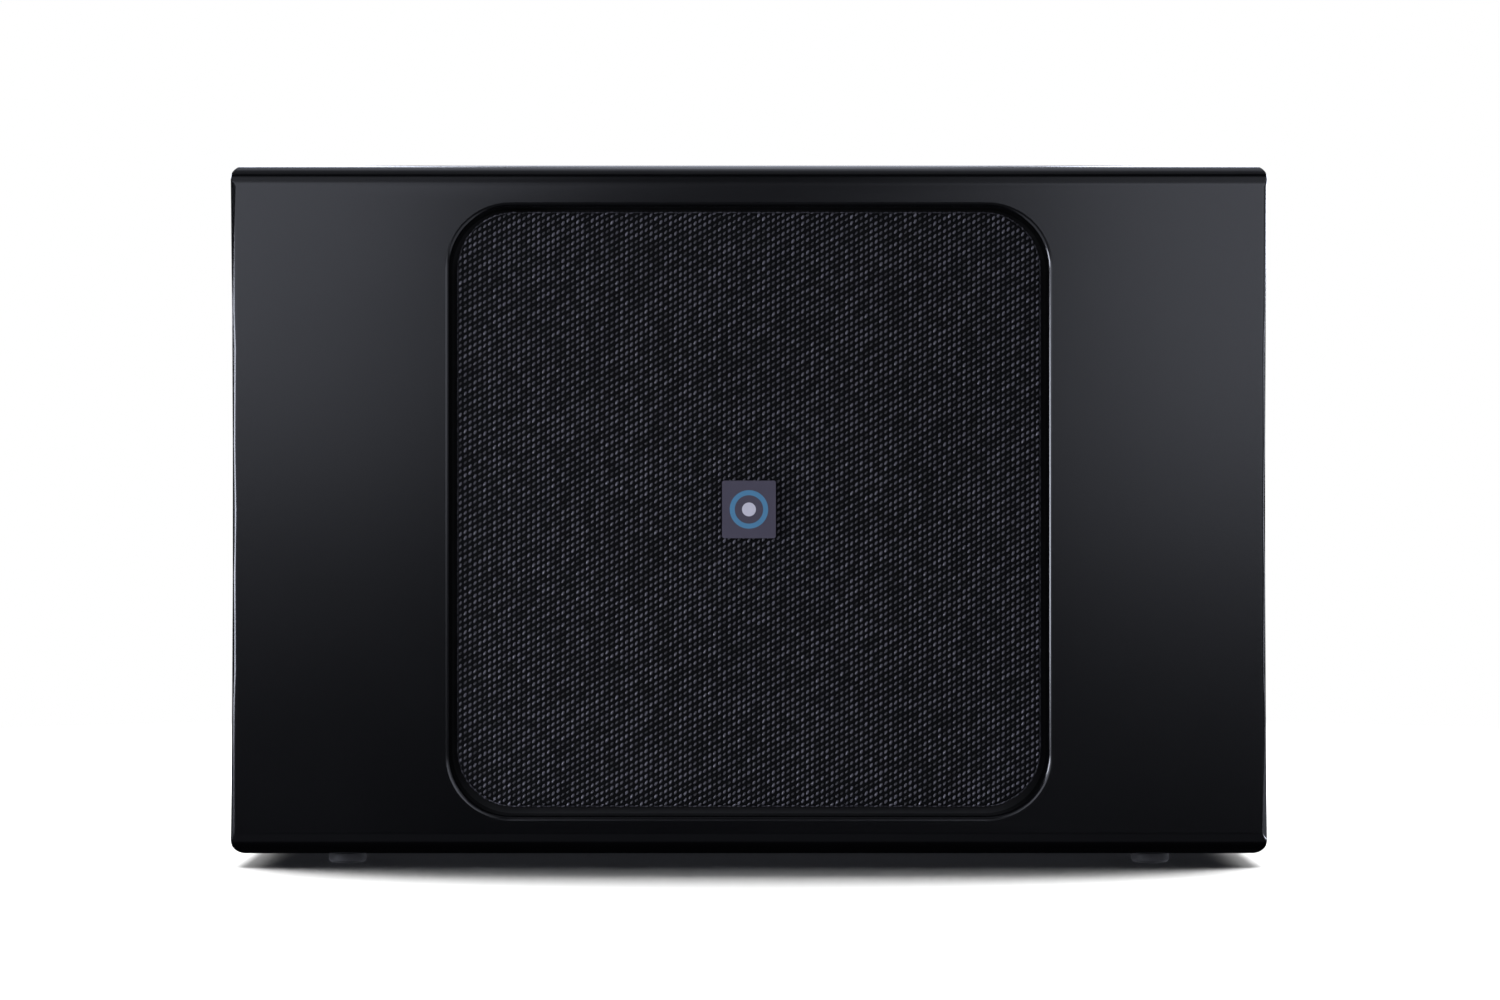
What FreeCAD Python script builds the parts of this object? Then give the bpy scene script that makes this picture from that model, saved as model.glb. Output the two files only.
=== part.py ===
"""Slim powered subwoofer: a parametric FreeCAD document.

Frame: +Z up, the floor at Z = 0, the front face towards -Y, the origin under the middle of the
cabinet. Millimetres throughout. Run it as a macro, or with FreeCAD's own Python.
"""

import FreeCAD, Part
import math
import os

import Sketcher
from FreeCAD import Placement, Rotation, Vector

doc = FreeCAD.newDocument("subwoofer")

# ---------------------------------------------------------------------------------------------
# Driving dimensions
# ---------------------------------------------------------------------------------------------

CELLS = [
    # cabinet
    ("cabinet_w", 540, "overall width"),
    ("cabinet_h", 360, "height without the feet"),
    ("cabinet_d", 155, "overall depth"),
    ("wall", 15, "top, bottom and side walls"),
    ("front_t", 18, "front board"),
    ("roll_r", 12, "round-over along the top and bottom edges"),
    ("outline_r", 8, "corner radius of the front outline"),
    ("end_r", 3, "small radius round both ends"),
    ("waist", 1.1, "how far each side curves in at half height"),
    ("cut_extra", 1, "how far a cut runs past the material"),
    # recess for the grille
    ("recess_w", 311.5, "recess width"),
    ("recess_h", "=cabinet_h - 43", "recess height"),
    ("recess_r", 32, "recess corner radius"),
    ("recess_drop", 1.1, "recess centre below the cabinet's centre"),
    ("rim_r", 2.5, "rounded rim of the recess"),
    # grille
    ("grille_w", "=recess_w - 8", "over the cloth"),
    ("grille_h", "=recess_h - 7.5", "over the cloth"),
    ("grille_r", 29.5, "corner radius over the cloth"),
    ("grille_setback", 2.5, "cloth face behind the front face"),
    ("grille_t", 8.5, "thickness with the cloth"),
    ("cloth_t", 0.8, "cloth thickness"),
    ("cloth_lip", 7, "cloth folded over the back of the frame"),
    ("frame_open_r", 118, "round opening of the grille frame"),
    ("frame_web_t", 4, "spokes and hub"),
    ("hub_r", 22, "hub behind the badge"),
    ("spoke_w", 9, "spoke width"),
    ("peg_r", 4, "mounting peg radius"),
    ("peg_len", 13, "mounting peg length"),
    ("peg_x", "=grille_w / 2 - 19.75", "pegs each side of the centre"),
    ("peg_z", "=grille_h / 2 - 20.75", "pegs above and below the centre"),
    ("peg_gap", 0.1, "radial play of a peg in its socket"),
    ("socket_wall", 2.4, "rubber socket wall"),
    ("socket_flange_r", 9, "rubber socket flange radius"),
    ("socket_flange_t", 1.5, "rubber socket flange thickness"),
    ("socket_len", 14, "rubber socket length in the baffle"),
    # badge
    ("badge_w", 28, "badge width"),
    ("badge_h", 30, "badge height"),
    ("badge_t", 1.6, "badge thickness"),
    ("badge_r", 1.2, "badge corner radius"),
    ("badge_ring_r", 10, "outer radius of the ring inlay"),
    ("badge_ring_w", 2.6, "width of the ring inlay"),
    ("badge_dot_r", 3.6, "radius of the dot inlay"),
    ("inlay_t", 0.5, "inlay depth"),
    ("badge_pin_r", 1.2, "badge pin radius"),
    ("badge_pin_z", 10, "badge pins above and below its centre"),
    # baffle
    ("baffle_t", 26, "baffle board"),
    ("baffle_w", 350, "baffle board width"),
    ("well_r", 111, "well that the driver sits in"),
    ("well_depth", 14, "well depth"),
    ("glue_gap", 0.2, "play between glued boards"),
    # driver
    ("flange_r", 108, "basket flange radius"),
    ("flange_t", 4.5, "basket flange thickness"),
    ("cutout_r", 93.5, "baffle cut-out radius"),
    ("driver_seal_t", 1.5, "driver gasket"),
    ("driver_screw_pcr", 101.5, "driver screw pitch radius"),
    ("basket_open_r", 88, "basket opening at the flange"),
    ("basket_neck_r", 66, "basket radius at the magnet"),
    ("basket_wall", 3.2, "basket wall"),
    ("shelf_r", 58, "inner radius of the spider shelf"),
    ("shelf_depth", 41, "spider shelf below the flange face"),
    ("motor_depth", 58, "top plate below the flange face"),
    ("window_half_angle", 22, "half angle of a basket window, degrees"),
    ("window_in_r", 73, "inner radius of a basket window"),
    ("window_out_r", 86, "outer radius of a basket window"),
    ("plate_r", 62, "top and back plate radius"),
    ("top_plate_t", 8, "top plate"),
    ("magnet_r", 68, "magnet radius"),
    ("magnet_in_r", 36, "magnet bore radius"),
    ("magnet_t", 22, "magnet thickness"),
    ("back_plate_t", 8, "back plate"),
    ("coil_r", 25, "inner radius of the coil former"),
    ("former_t", 0.4, "coil former wall"),
    ("winding_t", 0.9, "winding build"),
    ("winding_len", 20, "winding length"),
    ("coil_gap", 0.7, "radial play of the coil in the motor"),
    ("vent_r", 8, "vent through the pole"),
    ("former_start", 30, "front end of the former below the flange face"),
    ("former_end", 76, "rear end of the former below the flange face"),
    ("cone_r", 74, "cone edge radius"),
    ("cone_lip_r", 67, "where the cone's lip turns into its slope"),
    ("cone_depth", 34, "cone depth to its neck"),
    ("cone_t", 1.1, "cone thickness"),
    ("cap_r", 36, "dust cap radius"),
    ("cap_rise", 12, "dust cap height"),
    ("cap_t", 1, "dust cap thickness"),
    ("roll_mid_r", 82, "middle of the surround's roll"),
    ("surround_roll_r", 8, "surround roll radius to mid thickness"),
    ("surround_t", 1.2, "surround thickness"),
    ("surround_out_r", 97, "outer edge of the surround"),
    ("spider_out_r", 66, "spider outer radius"),
    ("spider_t", 0.6, "spider thickness"),
    ("spider_wave", 0.9, "spider corrugation height"),
    ("spider_collar", 4, "flat collar of the spider round the coil"),
    ("terminal_w", 20, "driver terminal block width"),
    ("terminal_t", 7, "driver terminal block thickness"),
    ("terminal_d", 8, "driver terminal block depth"),
    ("terminal_gap", 1, "terminal block behind the basket's slope"),
    ("lug_len", 8, "terminal lug length"),
    ("lug_t", 0.8, "terminal lug thickness"),
    ("lug_w", 5, "terminal lug width"),
    ("tinsel_r", 0.8, "tinsel lead radius"),
    ("tinsel_bow", 7, "how far the tinsel leads bow outwards"),
    ("tinsel_leg", 8.6, "length of a leg of the tinsel leads' bow"),
    # braces, frame and rear panel
    ("brace_x", 118, "brace centre each side"),
    ("brace_t", 12, "brace thickness"),
    ("brace_rim", 26, "material round a brace opening"),
    ("panel_t", 18, "rear panel"),
    ("panel_play", 0.5, "rear panel clearance all round"),
    ("seal_t", 1.5, "rear panel seal"),
    ("cleat", 15, "rear mounting frame section"),
    ("panel_screw_x", 120, "spacing of the rear panel screws"),
    ("insert_x", 100, "wall-mount inserts each side"),
    ("insert_z", 100, "wall-mount inserts above and below"),
    ("insert_r", 4.5, "insert outer radius"),
    ("insert_bore_r", 2.5, "insert bore radius, M6 thread core"),
    ("insert_len", 14, "insert length"),
    # fasteners
    ("pilot_play", 0.02, "pilot hole play round a screw"),
    ("foot_shank_r", 1.9, "foot screw shank radius"),
    ("foot_head_r", 4, "foot screw head radius"),
    ("foot_head_t", 2.2, "foot screw head thickness"),
    ("driver_shank_r", 2.3, "driver screw shank radius"),
    ("driver_head_r", 4.4, "driver screw head radius"),
    ("driver_head_t", 2.6, "driver screw head thickness"),
    ("panel_shank_r", 2, "rear panel screw shank radius"),
    ("panel_head_r", 4.2, "rear panel screw head radius"),
    ("panel_head_t", 2.6, "rear panel screw head thickness"),
    ("amp_shank_r", 1.5, "amplifier screw shank radius"),
    ("amp_head_r", 2.9, "amplifier screw head radius"),
    ("amp_head_t", 1.9, "amplifier screw head thickness"),
    ("port_shank_r", 1.6, "port screw shank radius"),
    ("port_head_r", 2.8, "port screw head radius"),
    ("port_head_t", 1.7, "port screw head thickness"),
    ("port_screw_len", 12, "port screw length"),
    ("through_play", 0.3, "through hole play round a screw"),
    ("drive_depth", 1.4, "screw drive depth"),
    # feet
    ("foot_h", 6, "foot height"),
    ("foot_r", 10, "foot radius"),
    ("foot_x", 212, "feet each side"),
    ("foot_y", 47.5, "feet in front and behind"),
    ("foot_seat", 3.2, "foot screw head recess depth"),
    # amplifier
    ("amp_x", -184, "amplifier plate centre"),
    ("amp_w", 118, "amplifier plate width"),
    ("amp_h", 236, "amplifier plate height"),
    ("amp_t", 2, "amplifier plate thickness"),
    ("amp_recess", 12, "plate seat below the rear face"),
    ("amp_play", 1, "plate clearance in its recess"),
    ("amp_ledge", 7, "ledge under the plate's edge"),
    ("amp_corner_r", 5, "recess corner radius"),
    ("sink_w", 98, "heat sink width"),
    ("sink_h", 56, "heat sink height"),
    ("sink_z", -23, "heat sink above the plate centre"),
    ("sink_base", 2, "heat sink base"),
    ("fin_h", 7, "fin height"),
    ("fin_t", 1.6, "fin thickness"),
    ("fin_pitch", 7, "fin pitch"),
    ("knob_x", 28, "knobs each side of the plate centre"),
    ("knob_z", 90, "knobs above the plate centre"),
    ("knob_r", 8, "knob radius"),
    ("knob_h", 8.4, "knob height"),
    ("knob_lift", 0.6, "knob clear of the plate"),
    ("shaft_r", 3, "knob shaft radius"),
    ("shaft_play", 0.3, "play round shafts, levers and buttons"),
    ("pot_w", 16, "potentiometer body"),
    ("pot_t", 7, "potentiometer depth"),
    ("control_z", 61, "switch row above the plate centre"),
    ("lever_w", 4, "phase lever width"),
    ("lever_h", 3, "phase lever height"),
    ("lever_travel", 4, "phase lever travel"),
    ("lever_proud", 3, "phase lever above the plate"),
    ("lever_in", 4, "phase lever behind the plate"),
    ("slide_margin", 2.5, "slide switch body round the lever's travel"),
    ("slide_floor", 1.5, "slide switch body behind its slot"),
    ("button_r", 3, "pairing button radius"),
    ("button_proud", 1.6, "pairing button above the plate"),
    ("button_travel", 1.2, "pairing button travel"),
    ("button_in", 2.5, "pairing button behind the plate"),
    ("tact_w", 6, "push switch body width"),
    ("tact_gap", 0.4, "push switch clear of the pressed button"),
    ("pointer_w", 1.1, "pointer groove width"),
    ("pointer_d", 0.6, "pointer groove depth"),
    ("flute_out", 0.5, "flute centres outside the knob"),
    ("led_r", 1.5, "status light radius"),
    ("led_x", 14, "status light from the plate centre"),
    ("led_proud", 0.8, "status light above the plate"),
    ("board_t", 1.6, "circuit board"),
    ("control_w", 90, "control board width"),
    ("control_h", 54, "control board height"),
    ("main_w", 96, "main board width"),
    ("main_h", 156, "main board height"),
    ("main_z", -28, "main board above the plate centre"),
    ("post_x", 42, "board pillars each side of the plate centre"),
    ("post_edge", 7, "board pillars from the board's ends"),
    ("post_r", 2.8, "board pillar radius"),
    ("stud_r", 1.4, "board stud radius"),
    ("stud_play", 0.1, "play round a board stud"),
    ("core_x", 12, "transformer from the plate centre"),
    ("core_z", -72, "transformer above the plate centre"),
    ("core_w", 40, "transformer core width"),
    ("core_h", 34, "transformer core height"),
    ("core_d", 32, "transformer core depth"),
    ("bobbin_w", 26, "transformer bobbin width"),
    ("bobbin_h", 44, "transformer bobbin height"),
    ("bobbin_d", 22, "transformer bobbin depth"),
    ("can_x", 24, "filter capacitors from the plate centre"),
    ("can_z", -12, "filter capacitors above the plate centre"),
    ("can_pitch", 28, "filter capacitor spacing"),
    ("can_r", 12, "filter capacitor radius"),
    ("can_len", 35, "filter capacitor length"),
    ("jack_depth", 19, "main board behind the plate"),
    ("jack_z", 31, "connector row above the plate centre"),
    ("rca_x", -37, "first line input from the plate centre"),
    ("rca_pitch", 20, "line input spacing"),
    ("rca_r", 4.15, "line input barrel radius"),
    ("rca_len", 8, "line input barrel length"),
    ("rca_base_r", 6, "line input flange radius"),
    ("rca_base_t", 1.5, "line input flange thickness"),
    ("rca_wall", 0.75, "line input barrel wall"),
    ("rca_pin_r", 1.65, "line input centre bore"),
    ("rca_neck", 1.1, "line input neck inside its flange"),
    ("net_x", 28, "network socket from the plate centre"),
    ("net_w", 16, "network socket width"),
    ("net_h", 13.5, "network socket height"),
    ("net_cavity_w", 11.8, "network cavity width"),
    ("net_cavity_h", 8.2, "network cavity height"),
    ("net_cavity_d", 14, "network cavity depth"),
    ("net_proud", 0.6, "network socket above the plate"),
    ("net_latch_w", 4.2, "network latch slot width"),
    ("net_latch_h", 3, "network latch slot height"),
    ("power_z", -84, "power row above the plate centre"),
    ("inlet_x", -22, "power inlet from the plate centre"),
    ("inlet_w", 27, "power inlet body width"),
    ("inlet_h", 20, "power inlet body height"),
    ("inlet_rim", 3, "power inlet flange overlap"),
    ("inlet_rim_t", 2, "power inlet flange thickness"),
    ("inlet_corner_r", 2.5, "power inlet cavity corner radius"),
    ("blade_tail", 5, "blades behind the power inlet"),
    ("inlet_wall", 1.5, "power inlet wall"),
    ("inlet_depth", 15, "power inlet cavity depth"),
    ("blade_w", 2, "blade thickness"),
    ("blade_h", 4, "blade height"),
    ("blade_x", 7, "live and neutral blades each side"),
    ("blade_z", -2, "live and neutral blades above centre"),
    ("earth_z", 4, "earth blade above centre"),
    ("switch_x", 30, "power switch from the plate centre"),
    ("switch_w", 13, "power switch body width"),
    ("switch_h", 19, "power switch body height"),
    ("switch_wall", 1.2, "power switch wall"),
    ("switch_rim", 1.6, "power switch flange overlap"),
    ("switch_rim_t", 1.5, "power switch flange thickness"),
    ("switch_floor", 2, "power switch body behind the rocker"),
    ("rocker_play", 0.4, "play round the rocker"),
    ("rocker_tilt", 8, "rocker tilt each way, degrees"),
    ("rocker_rise", 3, "rocker centre above its pivot"),
    ("rocker_shoulder", 18, "where the rocker's round back starts, degrees"),
    ("rocker_pivot_depth", 1.5, "rocker pivot below the plate face"),
    ("rocker_pin_r", 0.9, "rocker pivot pin radius"),
    # port
    ("port_x", 184, "port centre"),
    ("port_z", 96, "port centre above the floor"),
    ("port_r", 27, "port inner radius"),
    ("port_wall", 2.5, "port wall"),
    ("port_flange_r", 48, "port flange radius"),
    ("port_flange_t", 3, "port flange thickness"),
    ("port_flare", 11, "flare radius at the mouth"),
    ("port_sleeve", 35, "straight sleeve from the rear face"),
    ("port_bend_r", 40, "elbow radius"),
    ("port_riser", 110, "riser above the elbow"),
    ("port_screw_pcr", 43, "port screw pitch radius"),
    # leads and wadding
    ("lead_r", 1.4, "speaker lead radius"),
    ("lead_pitch", 9, "spacing of the two speaker leads"),
    ("lead_x", 34, "speaker leads from the plate centre"),
    ("lead_z", 26, "speaker leads above the plate centre"),
    ("lead_leg", 16, "length of a leg of the speaker leads"),
    ("pad_gap", 2, "wadding behind the baffle board"),
    ("pad_w", 200, "wadding length"),
    ("pad_d", 66, "wadding depth"),
    ("pad_t", 30, "wadding thickness"),
]

sheet = doc.addObject("Spreadsheet::Sheet", "sizes")


class Size:
    """A number with the formula that it came from, so that a property can be bound to both."""

    def __init__(self, value, text):
        self.value = float(value)
        self.text = text

    def __add__(self, other):
        other = size_of(other)
        return Size(self.value + other.value, f"({self.text} + {other.text})")

    def __radd__(self, other):
        return size_of(other) + self

    def __sub__(self, other):
        other = size_of(other)
        return Size(self.value - other.value, f"({self.text} - {other.text})")

    def __rsub__(self, other):
        return size_of(other) - self

    def __mul__(self, other):
        other = size_of(other)
        return Size(self.value * other.value, f"({self.text} * {other.text})")

    def __rmul__(self, other):
        return size_of(other) * self

    def __truediv__(self, other):
        other = size_of(other)
        return Size(self.value / other.value, f"({self.text} / {other.text})")

    def __neg__(self):
        return self * -1


def size_of(number):
    return number if isinstance(number, Size) else Size(number, f"({number})")


def root(size):
    return Size(math.sqrt(size.value), f"sqrt({size.text})")


class Sizes:
    """The spreadsheet's cells by name: S.cabinet_w is that cell as a Size."""

    def __init__(self, cells):
        for row, (alias, number, meaning) in enumerate(cells, start=1):
            sheet.set(f"A{row}", meaning)
            sheet.set(f"B{row}", str(number))
            sheet.setAlias(f"B{row}", alias)
        doc.recompute()
        for alias, _, _ in cells:
            setattr(self, alias, Size(sheet.get(alias), f"sizes.{alias}"))


S = Sizes(CELLS)

# ---------------------------------------------------------------------------------------------
# Places that several pieces share
# ---------------------------------------------------------------------------------------------

FRONT_Y = -S.cabinet_d / 2
REAR_Y = S.cabinet_d / 2
BOTTOM_Z = S.foot_h
MID_Z = S.foot_h + S.cabinet_h / 2
INNER_W = S.cabinet_w - S.wall * 2
INNER_H = S.cabinet_h - S.wall * 2
BAFFLE_Y = FRONT_Y + S.front_t
BAFFLE_REAR_Y = BAFFLE_Y + S.baffle_t
SEAT_Y = BAFFLE_Y + S.well_depth
FLANGE_Y = SEAT_Y - S.driver_seal_t - S.flange_t
PANEL_Y = REAR_Y - S.panel_t
SEAL_Y = PANEL_Y - S.seal_t
CLEAT_Y = SEAL_Y - S.cleat
LEDGE_Y = REAR_Y - S.amp_recess
PLATE_Y = LEDGE_Y + S.amp_t
RECESS_Z = MID_Z - S.recess_drop
CLOTH_Y = FRONT_Y + S.grille_setback
FRAME_Y = CLOTH_Y + S.cloth_t
FRAME_REAR_Y = CLOTH_Y + S.grille_t
BOARD_Y = LEDGE_Y - S.jack_depth
CONTROL_Y = LEDGE_Y - S.pot_t
COIL_OUT_R = S.coil_r + S.former_t
SPIDER_ARCS = 8

# ---------------------------------------------------------------------------------------------
# Helpers: bound properties, bodies, sketches and features
# ---------------------------------------------------------------------------------------------

PIECES = []


def bind(thing, name, size):
    """Sets a property to a size and keeps the formula in the document."""
    size = size_of(size)
    owner = thing
    parts = name.strip(".").split(".")
    if len(parts) == 1:
        setattr(owner, parts[0], size.value)
    if "sizes." in size.text:
        thing.setExpression(name, size.text)
    elif len(parts) > 1:
        thing.setExpression(name, f"{size.value}")


def place(thing, x=0, y=0, z=0):
    for axis, size in zip("xyz", (x, y, z)):
        bind(thing, f".Placement.Base.{axis}", size)


def piece(thing, label):
    """Marks an object as one sub-part, written to its own file."""
    thing.Label = label
    PIECES.append(thing)
    return thing


def body(label, x=0, y=0, z=0):
    made = doc.addObject("PartDesign::Body", label)
    place(made, x, y, z)
    return piece(made, label)


# Each sketch plane's world axis, and the way that its normal points along it.
AXIS = {"XY_Plane": "Z", "XZ_Plane": "Y", "YZ_Plane": "X"}
NORMAL = {"XY_Plane": 1, "XZ_Plane": -1, "YZ_Plane": 1}


class Drawing:
    """A sketch on one of its body's origin planes; every point is tied to the spreadsheet.

    at is the plane's place along its world axis. In an XZ sketch x is world X and y is world Z,
    in a YZ sketch x is world Y and y is world Z.
    """

    def __init__(self, owner, plane, at=0):
        self.owner = owner
        self.plane = plane
        self.sketch = owner.newObject("Sketcher::SketchObject", owner.Label + "_sketch")
        origin_plane = [f for f in owner.Origin.OriginFeatures if f.Role == plane][0]
        self.sketch.AttachmentSupport = [(origin_plane, "")]
        self.sketch.MapMode = "FlatFace"
        bind(self.sketch, ".AttachmentOffset.Base.z", size_of(at) * NORMAL[plane])

    def hold(self, *constraint):
        """Adds a dimension whose last value is a size, and binds it."""
        size = size_of(constraint[-1])
        number = self.sketch.addConstraint(Sketcher.Constraint(*constraint[:-1], size.value))
        if "sizes." in size.text:
            self.sketch.setExpression(f"Constraints[{number}]", size.text)

    def pin(self, edge, end, x, y):
        self.hold("DistanceX", -1, 1, edge, end, x)
        self.hold("DistanceY", -1, 1, edge, end, y)

    def circle(self, x, y, radius):
        x, y, radius = size_of(x), size_of(y), size_of(radius)
        ring = Part.Circle(Vector(x.value, y.value, 0), Vector(0, 0, 1), radius.value)
        edge = self.sketch.addGeometry(ring)
        self.pin(edge, 3, x, y)
        self.hold("Radius", edge, radius)
        return self

    def loop(self, steps):
        """A closed outline. A step is a point (x, y), or ("arc", x, y, turn): an arc about that centre
        to the next point, anticlockwise for turn 1 and clockwise for -1."""
        points = [s for s in steps if s[0] != "arc"]
        points = [(size_of(x), size_of(y)) for x, y in points]
        arcs, n = {}, -1
        for step in steps:
            if step[0] == "arc":
                arcs[n] = step
            else:
                n += 1
        count, first, joints = len(points), None, []
        for i, (x, y) in enumerate(points):
            next_x, next_y = points[(i + 1) % count]
            start = Vector(x.value, y.value, 0)
            end = Vector(next_x.value, next_y.value, 0)
            if i in arcs:
                _, cx, cy, turn = arcs[i]
                cx, cy = size_of(cx), size_of(cy)
                centre = Vector(cx.value, cy.value, 0)
                a, b = (start, end) if turn > 0 else (end, start)
                angles = [math.atan2(p.y - cy.value, p.x - cx.value) for p in (a, b)]
                ring = Part.Circle(centre, Vector(0, 0, 1), (start - centre).Length)
                edge = self.sketch.addGeometry(Part.ArcOfCircle(ring, *angles))
                if abs(end.x - start.x) > abs(end.y - start.y):
                    self.hold("DistanceY", -1, 1, edge, 3, cy)
                else:
                    self.hold("DistanceX", -1, 1, edge, 3, cx)
                ends = (1, 2) if turn > 0 else (2, 1)
            else:
                edge = self.sketch.addGeometry(Part.LineSegment(start, end))
                ends = (1, 2)
            first = edge if first is None else first
            joints.append((edge, ends))
            self.pin(edge, ends[0], x, y)
        for (edge, ends), (after, after_ends) in zip(joints, joints[1:] + joints[:1]):
            self.sketch.addConstraint(
                Sketcher.Constraint("Coincident", edge, ends[1], after, after_ends[0])
            )
        return self

    def rectangle(self, x, y, width, height):
        x, y, half_w, half_h = size_of(x), size_of(y), size_of(width) / 2, size_of(height) / 2
        return self.loop(
            [
                (x - half_w, y - half_h),
                (x + half_w, y - half_h),
                (x + half_w, y + half_h),
                (x - half_w, y + half_h),
            ]
        )

    def rounded(self, x, y, width, height, radius):
        """A rectangle with rounded corners."""
        x, y, r = size_of(x), size_of(y), size_of(radius)
        left, right = x - size_of(width) / 2, x + size_of(width) / 2
        low, high = y - size_of(height) / 2, y + size_of(height) / 2
        return self.loop(
            [
                (left + r, low),
                (right - r, low),
                ("arc", right - r, low + r, 1),
                (right, low + r),
                (right, high - r),
                ("arc", right - r, high - r, 1),
                (right - r, high),
                (left + r, high),
                ("arc", left + r, high - r, 1),
                (left, high - r),
                (left, low + r),
                ("arc", left + r, low + r, 1),
            ]
        )

    def hexagon(self, x, y, radius):
        x, y, r = size_of(x), size_of(y), size_of(radius)
        turns = [(math.cos(math.radians(60 * i)), math.sin(math.radians(60 * i))) for i in range(6)]
        return self.loop([(x + r * round(c, 6), y + r * round(s, 6)) for c, s in turns])


def feature(owner, kind, drawing, **properties):
    """Adds a PartDesign feature on a sketch, computes it, and makes sure that it did something."""
    before = owner.Shape.Volume if owner.Tip is not None else 0.0
    made = owner.newObject("PartDesign::" + kind, f"{owner.Label}_{kind.lower()}")
    made.Profile = drawing.sketch
    for name, setting in properties.items():
        if isinstance(setting, Size):
            bind(made, name, setting)
        else:
            setattr(made, name, setting)
    owner.Tip = made
    doc.recompute()
    if abs(owner.Shape.Volume - before) < 1e-6:
        raise RuntimeError(f"{made.Name} changed nothing in {owner.Label}")
    drawing.sketch.Visibility = False
    return made


def pad(owner, drawing, length, towards=1):
    """Extrudes along the sketch plane's world axis, towards +1 or -1."""
    return feature(
        owner, "Pad", drawing, Length=size_of(length), Reversed=NORMAL[drawing.plane] != towards
    )


def pocket(owner, drawing, length, towards=1):
    return feature(
        owner, "Pocket", drawing, Length=size_of(length), Reversed=NORMAL[drawing.plane] == towards
    )


def revolve(owner, drawing, kind="Revolution"):
    """Turns a sketch of (radius, distance) round its own upright axis."""
    return feature(owner, kind, drawing, ReferenceAxis=(drawing.sketch, ["V_Axis"]), Angle=360.0)


def polar(owner, original, drawing, count):
    """Repeats a feature round the body's Y axis."""
    made = owner.newObject("PartDesign::PolarPattern", owner.Label + "_polar")
    made.Originals = [original]
    made.Axis = (drawing.sketch, ["N_Axis"])
    made.Angle = 360.0
    made.Occurrences = count
    owner.Tip = made
    doc.recompute()
    return made


def row(owner, original, drawing, pitch, count):
    """Repeats a feature along the sketch's own x axis."""
    made = owner.newObject("PartDesign::LinearPattern", owner.Label + "_row")
    made.Originals = [original]
    made.Direction = (drawing.sketch, ["H_Axis"])
    bind(made, "Length", size_of(pitch) * (count - 1))
    made.Occurrences = count
    owner.Tip = made
    doc.recompute()
    return made


def dress(owner, kind, size, chosen):
    """Fillet or Chamfer on the edges of the body that the test picks."""
    base = owner.Tip
    names = [f"Edge{i}" for i, e in enumerate(base.Shape.Edges, start=1) if chosen(e)]
    if not names:
        raise RuntimeError(f"no edge of {owner.Label} was chosen")
    made = owner.newObject("PartDesign::" + kind, f"{owner.Label}_{kind.lower()}")
    made.Base = (base, names)
    bind(made, "Radius" if kind == "Fillet" else "Size", size)
    owner.Tip = made
    doc.recompute()
    return made


def edge_at(axis, where, within=1e-4):
    """A test for edges that lie wholly at one place along an axis."""
    where = size_of(where).value

    def chosen(edge):
        box = edge.BoundBox
        low, high = getattr(box, axis + "Min"), getattr(box, axis + "Max")
        return abs(low - where) < within and abs(high - where) < within

    return chosen


def screws(label, plane, places, face, head, shank, length, towards, head_t):
    """A set of pan-head screws. face is where the heads sit; the shanks run towards -1 or +1."""
    made = body(label)
    heads = Drawing(made, plane, face)
    for x, y in places:
        heads.circle(x, y, head)
    pad(made, heads, head_t, -towards)
    top = size_of(face) - head_t * towards
    dress(made, "Fillet", head_t * 0.45, edge_at(AXIS[plane], top))
    shanks = Drawing(made, plane, face)
    for x, y in places:
        shanks.circle(x, y, shank)
    pad(made, shanks, length, towards)
    drives = Drawing(made, plane, top)
    for x, y in places:
        drives.hexagon(x, y, head * 0.5)
    pocket(made, drives, S.drive_depth, towards)
    return made


def box(label, x, y, z, width, depth, height):
    """A block from its centre in X and Z and its front in Y."""
    made = doc.addObject("Part::Box", label)
    bind(made, "Length", width)
    bind(made, "Width", depth)
    bind(made, "Height", height)
    place(made, size_of(x) - size_of(width) / 2, y, size_of(z) - size_of(height) / 2)
    return made


def group(label, members):
    made = doc.addObject("Part::Compound", label)
    made.Links = members
    return piece(made, label)


def rounded_route(points):
    """A wire of straight runs joined by tangent arcs as large as the runs allow, and their radii."""
    share = 0.45
    points = [Vector(*[size_of(n).value for n in p]) for p in points]
    edges, last, radii = [], points[0], []
    for before, corner, after in zip(points, points[1:], points[2:]):
        back, ahead = before - corner, after - corner
        turn = math.pi - back.getAngle(ahead)
        reach = share * min(back.Length, ahead.Length)
        radius = reach / math.tan(turn / 2)
        back.normalize()
        ahead.normalize()
        start, end = corner + back * reach, corner + ahead * reach
        bisector = (back + ahead).normalize()
        middle = corner + bisector * (radius / math.cos(turn / 2) - radius)
        edges.append(Part.LineSegment(last, start).toShape())
        edges.append(Part.Arc(start, middle, end).toShape())
        last = end
        radii.append(round(radius, 1))
    edges.append(Part.LineSegment(last, points[-1]).toShape())
    return Part.Wire(edges), radii


def tube(points, radius):
    """A round solid along a route."""
    wire, radii = rounded_route(points)
    print("arc radii, mm:", radii)
    ends = [Vector(*[size_of(n).value for n in p]) for p in points[:2]]
    section = Part.Wire(Part.makeCircle(size_of(radius).value, ends[0], ends[1] - ends[0]))
    solid = wire.makePipeShell([section], True, False)
    expected = math.pi * size_of(radius).value ** 2 * wire.Length
    if abs(solid.Volume / expected - 1) > 0.01:
        raise RuntimeError(f"a tube has {solid.Volume:.1f} mm3 instead of {expected:.1f}")
    return solid


def shaped(label, shape):
    """A Part::Feature for the few pieces that no PartDesign feature suits."""
    made = doc.addObject("Part::Feature", label)
    made.Shape = shape
    return piece(made, label)


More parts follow.
